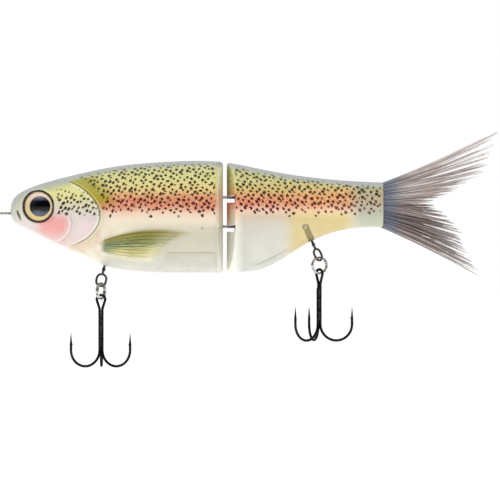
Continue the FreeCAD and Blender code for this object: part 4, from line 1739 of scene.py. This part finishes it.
@dataclass
class TailBrush:
    """Fibres that leave the stalk and fan out into a forked tail."""

    root_x: float = 136.6
    root_low: float = -4.5
    root_high: float = 10.5
    half_thick: float = 1.25
    knots: int = 7
    clumps: int = 46
    fibres: int = 780
    radius: float = 0.14
    tip_share: float = 0.3
    seed: int = 11
    clump_spread: float = 0.0034
    root_spread: float = 0.3
    tip_spread: float = 0.35
    tips: tuple[tuple[float, float], ...] = (
        (176.6, -24.4), (173.0, -19.8), (170.0, -15.2), (169.4, -10.6), (167.2, -6.0), (163.4, -1.6),
        (156.4, 3.8), (163.4, 7.4), (170.4, 11.2), (177.6, 16.8), (181.8, 22.6), (181.0, 30.6))
    notch: float = 0.54
    bare: tuple[tuple[float, float], ...] = ((0.035, 0.055), (0.868, 0.892))

    def _tip(self, share: np.ndarray) -> np.ndarray:
        """Where a fibre ends, by its place between the lowest and the highest.

        Args:
            share: places in the fan, 0 at the lowest fibre and 1 at the highest.

        Returns:
            One (x, z) row for each place.
        """
        table = np.array(self.tips)
        places = np.linspace(0, 1, len(table))
        return np.stack([np.interp(share, places, table[:, 0]), np.interp(share, places, table[:, 1])], 1)

    def _draw(self) -> list[Fibre]:
        """Draws every fibre as (root, tip, luck, share).

        Returns:
            The fibres that are kept.
        """
        rng = np.random.default_rng(self.seed)
        centres = (np.arange(self.clumps) + rng.uniform(-0.4, 0.4, self.clumps) + 0.5) / self.clumps
        lengths = rng.uniform(0.93, 1.0, self.clumps)
        tones = rng.uniform(0, 1, self.clumps)
        drawn = []
        for _ in range(self.fibres):
            clump = rng.integers(self.clumps)
            share = float(np.clip(centres[clump] + rng.normal(0, self.clump_spread), 0.0, 1.0))
            keep = rng.uniform()
            thin = 0.4 if share < 0.07 else 0.74 if share > 0.62 else 1.0
            if keep > thin or any(low < share < high for low, high in self.bare):
                continue
            tip = self._tip(np.array([share]))[0]
            root_z = self.root_low + (self.root_high - self.root_low) * share
            root_z += rng.normal(0, self.root_spread)
            root = np.array([self.root_x, rng.uniform(-1, 1) * self.half_thick,
                             np.clip(root_z, self.root_low, self.root_high)])
            reach = lengths[clump] * (1.0 - 0.2 * rng.uniform() ** 1.6)
            end = np.array([tip[0], root[1] * 0.7 + rng.normal(0, self.tip_spread), tip[1]])
            end = root + (end - root) * reach
            luck = 0.5 * tones[clump] + 0.42 * rng.uniform() + (0.24 if share > 0.6 else -0.02)
            drawn.append((root, end, float(np.clip(luck, 0, 1)), share))
        return drawn

    def build(self, lobe: Lobe, material: bpy.types.Material) -> bpy.types.Object:
        """Makes one lobe of the tail.

        Args:
            lobe: which lobe.
            material: the fibres' finish.

        Returns:
            The finished lobe.
        """
        rng = np.random.default_rng(self.seed + 1)
        wanted = [d for d in self._draw() if (d[3] > self.notch) == (lobe is Lobe.UPPER)]
        curve = bpy.data.curves.new("fibres_" + lobe.value, "CURVE")
        curve.dimensions = "3D"
        curve.bevel_depth = self.radius * MM
        curve.bevel_resolution = 0
        curve.use_fill_caps = True
        steps = np.linspace(0, 1, self.knots)
        for root, end, _, _ in wanted:
            spline = curve.splines.new("POLY")
            spline.points.add(self.knots - 1)
            sag = rng.normal(0, 0.5, 2)
            run = root + (end - root) * steps[:, None]
            run[:, 2] += (steps * (1 - steps)) * sag[0] * 2.0
            run[:, 2] -= (end[2] - root[2]) * 0.05 * np.sin(math.pi * steps)
            run[:, 1] += (steps * (1 - steps)) * sag[1]
            for point, place, t in zip(spline.points, run, steps):
                point.co = (*(place * MM), 1.0)
                point.radius = 1.0 - (1.0 - self.tip_share) * t ** 1.5
        piece = bpy.data.objects.new("tail_fibres_" + lobe.value, curve)
        bpy.context.collection.objects.link(piece)
        choose(piece)
        bpy.ops.object.convert(target="MESH")
        piece = bpy.context.object
        piece.data.name = piece.name
        self._mark(piece, wanted)
        smooth(piece, 60)
        dress(piece, material)
        return piece

    def _mark(self, piece: bpy.types.Object, wanted: list[Fibre]) -> None:
        """Stores each point's fibre and its place along it.

        Args:
            piece: the mesh object.
            wanted: the lobe's fibres.
        """
        points = points_of(piece)
        per = len(points) // len(wanted)
        luck = np.repeat([d[2] for d in wanted], per)
        ends = np.array([d[1][0] for d in wanted])
        along = (points[:, 0] - self.root_x) / (np.repeat(ends, per) - self.root_x)
        store(piece, "strand", luck)
        store(piece, "along", np.clip(along, 0, 1))


# ---------------------------------------------------------------- studio
@dataclass
class Studio:
    """Pale floor, soft lights and the camera."""

    centre: tuple[float, float, float] = (0.08975, 0.0, -0.01338)
    distance: float = 2.0367
    lens: float = 400.0
    floor_z: float = -0.078
    floor_glow: float = 0.52

    def camera(self) -> None:
        """A long lens, level with the bait, square to its left flank."""
        data = bpy.data.cameras.new("camera")
        data.lens = self.lens
        data.sensor_width = 36.0
        data.clip_start = 0.01
        camera = bpy.data.objects.new("camera", data)
        camera.location = (self.centre[0], -self.distance, self.centre[2])
        camera.rotation_euler = (math.pi / 2, 0, 0)
        bpy.context.collection.objects.link(camera)
        bpy.context.scene.camera = camera

    def floor(self) -> None:
        """A wide pale floor under the hooks."""
        deselect()
        bpy.ops.mesh.primitive_plane_add(size=12, location=(0, 0, self.floor_z))
        floor = named("studio_floor")
        settle(floor)
        f = Finish("studio_floor")
        grain = f.noise(f.place(), 0.002, 2.0)
        f.surface(Base_Color=f.mix(grain, (250, 250, 250), (247, 247, 248)))
        f.constants(Roughness=0.9, Emission_Strength=self.floor_glow)
        f.shader.inputs["Emission Color"].default_value = (1.0, 1.0, 1.0, 1.0)
        dress(floor, f.material)

    def lamp(self, name: str, place: tuple[float, float, float], size: tuple[float, float],
             watts: float) -> None:
        """One soft rectangular light aimed at the bait.

        Args:
            name: the lamp's name.
            place: where it stands, in metres.
            size: its width and height.
            watts: its power.
        """
        data = bpy.data.lights.new(name, "AREA")
        data.shape = "RECTANGLE"
        data.size, data.size_y = size
        data.energy = watts
        lamp = bpy.data.objects.new(name, data)
        lamp.location = place
        lamp.rotation_euler = (Vector(self.centre) - Vector(place)).to_track_quat("-Z", "Y").to_euler()
        lamp.visible_glossy = False
        bpy.context.collection.objects.link(lamp)

    def world(self, bright: float = 0.62, dim: float = 0.08) -> None:
        """White surroundings, with a dark side behind the camera that gives gloss its contrast.

        Args:
            bright: strength of the light overhead and round about.
            dim: strength of the dark side.
        """
        world = bpy.data.worlds.new("studio")
        bpy.context.scene.world = world
        world.use_nodes = True
        tree = world.node_tree
        tree.nodes.clear()
        heading = tree.nodes.new("ShaderNodeTexCoord").outputs["Generated"]
        split = tree.nodes.new("ShaderNodeSeparateXYZ")
        tree.links.new(heading, split.inputs[0])
        shade = tree.nodes.new("ShaderNodeMapRange")
        shade.interpolation_type = "SMOOTHSTEP"
        shade.inputs["From Min"].default_value = -0.97
        shade.inputs["From Max"].default_value = -0.55
        shade.inputs["To Min"].default_value = dim
        shade.inputs["To Max"].default_value = bright
        tree.links.new(split.outputs["Y"], shade.inputs["Value"])
        path = tree.nodes.new("ShaderNodeLightPath")
        mix = tree.nodes.new("ShaderNodeMixShader")
        tree.links.new(path.outputs["Is Camera Ray"], mix.inputs[0])
        for socket in (1, 2):
            background = tree.nodes.new("ShaderNodeBackground")
            background.inputs[0].default_value = (1, 1, 1, 1)
            background.inputs[1].default_value = 1.0
            if socket == 1:
                tree.links.new(shade.outputs["Result"], background.inputs[1])
            tree.links.new(background.outputs[0], mix.inputs[socket])
        out = tree.nodes.new("ShaderNodeOutputWorld")
        tree.links.new(mix.outputs[0], out.inputs[0])

    def build(self) -> None:
        """Sets up the whole studio."""
        self.camera()
        self.floor()
        self.world()
        self.lamp("key", (-0.1, -0.75, 0.5), (0.6, 0.4), 2.5)
        self.lamp("fill", (0.65, -0.7, 0.05), (0.4, 0.5), 1.3)
        self.lamp("rim", (0.1, 0.6, 0.5), (0.8, 0.3), 0.8)
        bpy.context.scene.view_settings.view_transform = "Standard"


# ---------------------------------------------------------------- dressing the CAD nodes
class Plating(Enum):
    """The metals of the bait's hardware."""

    STEEL = Metal("drawn_steel", (190, 186, 180), (128, 124, 118), 0.2)
    RING = Metal("ring_steel", (208, 206, 202), (112, 110, 108), 0.14)
    SWIVEL = Metal("swivel_steel", (92, 88, 84), (26, 24, 22), 0.16, 1.0, 0.2)
    HOOK = Metal("black_nickel", (44, 41, 40), (12, 11, 10), 0.14, 1.0, 0.12)
    BRAZE = Metal("plated_braze", (74, 70, 66), (16, 14, 13), 0.28, 1.0, 0.15)
    BARREL = Metal("dark_brass", (84, 64, 22), (44, 34, 12), 0.35, 0.5)


@dataclass
class Hardware:
    """The wires, pins, swivels, rings and hooks, which keep their CAD shapes."""

    nodes: dict[Plating, tuple[str, ...]] = field(default_factory=lambda: {
        Plating.STEEL: ("line_tie", "hinge_wire_upper", "hinge_wire_lower", "hinge_pin",
                        "front_hanger_pin", "rear_hanger_pin"),
        Plating.RING: ("front_split_ring", "rear_split_ring"),
        Plating.SWIVEL: ("front_swivel_eye", "rear_swivel_eye"),
        Plating.BARREL: ("front_swivel_barrel", "rear_swivel_barrel"),
        Plating.HOOK: ("front_treble_double", "front_treble_single", "rear_treble_double",
                       "rear_treble_single"),
        Plating.BRAZE: ("front_treble_braze", "rear_treble_braze")})

    def build(self) -> None:
        """Dresses every node."""
        for plating, nodes in self.nodes.items():
            material = plating.value.make()
            for node in nodes:
                dress_node(node, material)
            LOG.info("%s on %d nodes", plating.value.name, len(nodes))
        weight = Plain("cast_weight", (206, 208, 196), (170, 172, 160), 0.5).make()
        for node in ("front_ballast", "rear_ballast"):
            dress_node(node, weight)
        dress_node("tail_clamp", Plain("clamp_bar", (172, 178, 168), (150, 158, 150), 0.4).make())


def build_sections() -> None:
    paint = TroutPaint().make()
    for section, maker in (("front", FrontMoulding()), ("rear", RearMoulding())):
        for word, side in SIDES.items():
            piece = maker.build(f"{section}_moulding_{word}", side, paint)
            hand_over(piece, f"{section}_section", "shell", f"{section}_shell_{word}")


def build_eyes() -> None:
    """Makes both eyes."""
    finishes = {"eye_rim": Plain("eye_rim_black", (22, 13, 6), (10, 6, 4), 0.25, 0.3).make(),
                "iris": IrisFinish().make(),
                "pupil": PupilFinish().make(),
                "lens": LensFinish().make()}
    for word, side in SIDES.items():
        Eye().build(word, side, finishes)


def build_tail() -> None:
    """Makes the two lobes of fibres."""
    material = FibreFinish().make()
    for lobe in Lobe:
        piece = TailBrush().build(lobe, material)
        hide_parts("tail_brush_" + lobe.value)
        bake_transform(piece)
        LOG.info("%s: %d faces", piece.name, len(piece.data.polygons))


def main() -> None:
    """Builds the looks, piece by piece."""
    logging.basicConfig(level=logging.INFO)
    Studio().build()
    build_sections()
    build_eyes()
    build_tail()
    Hardware().build()


if __name__ == "__main__":
    main()
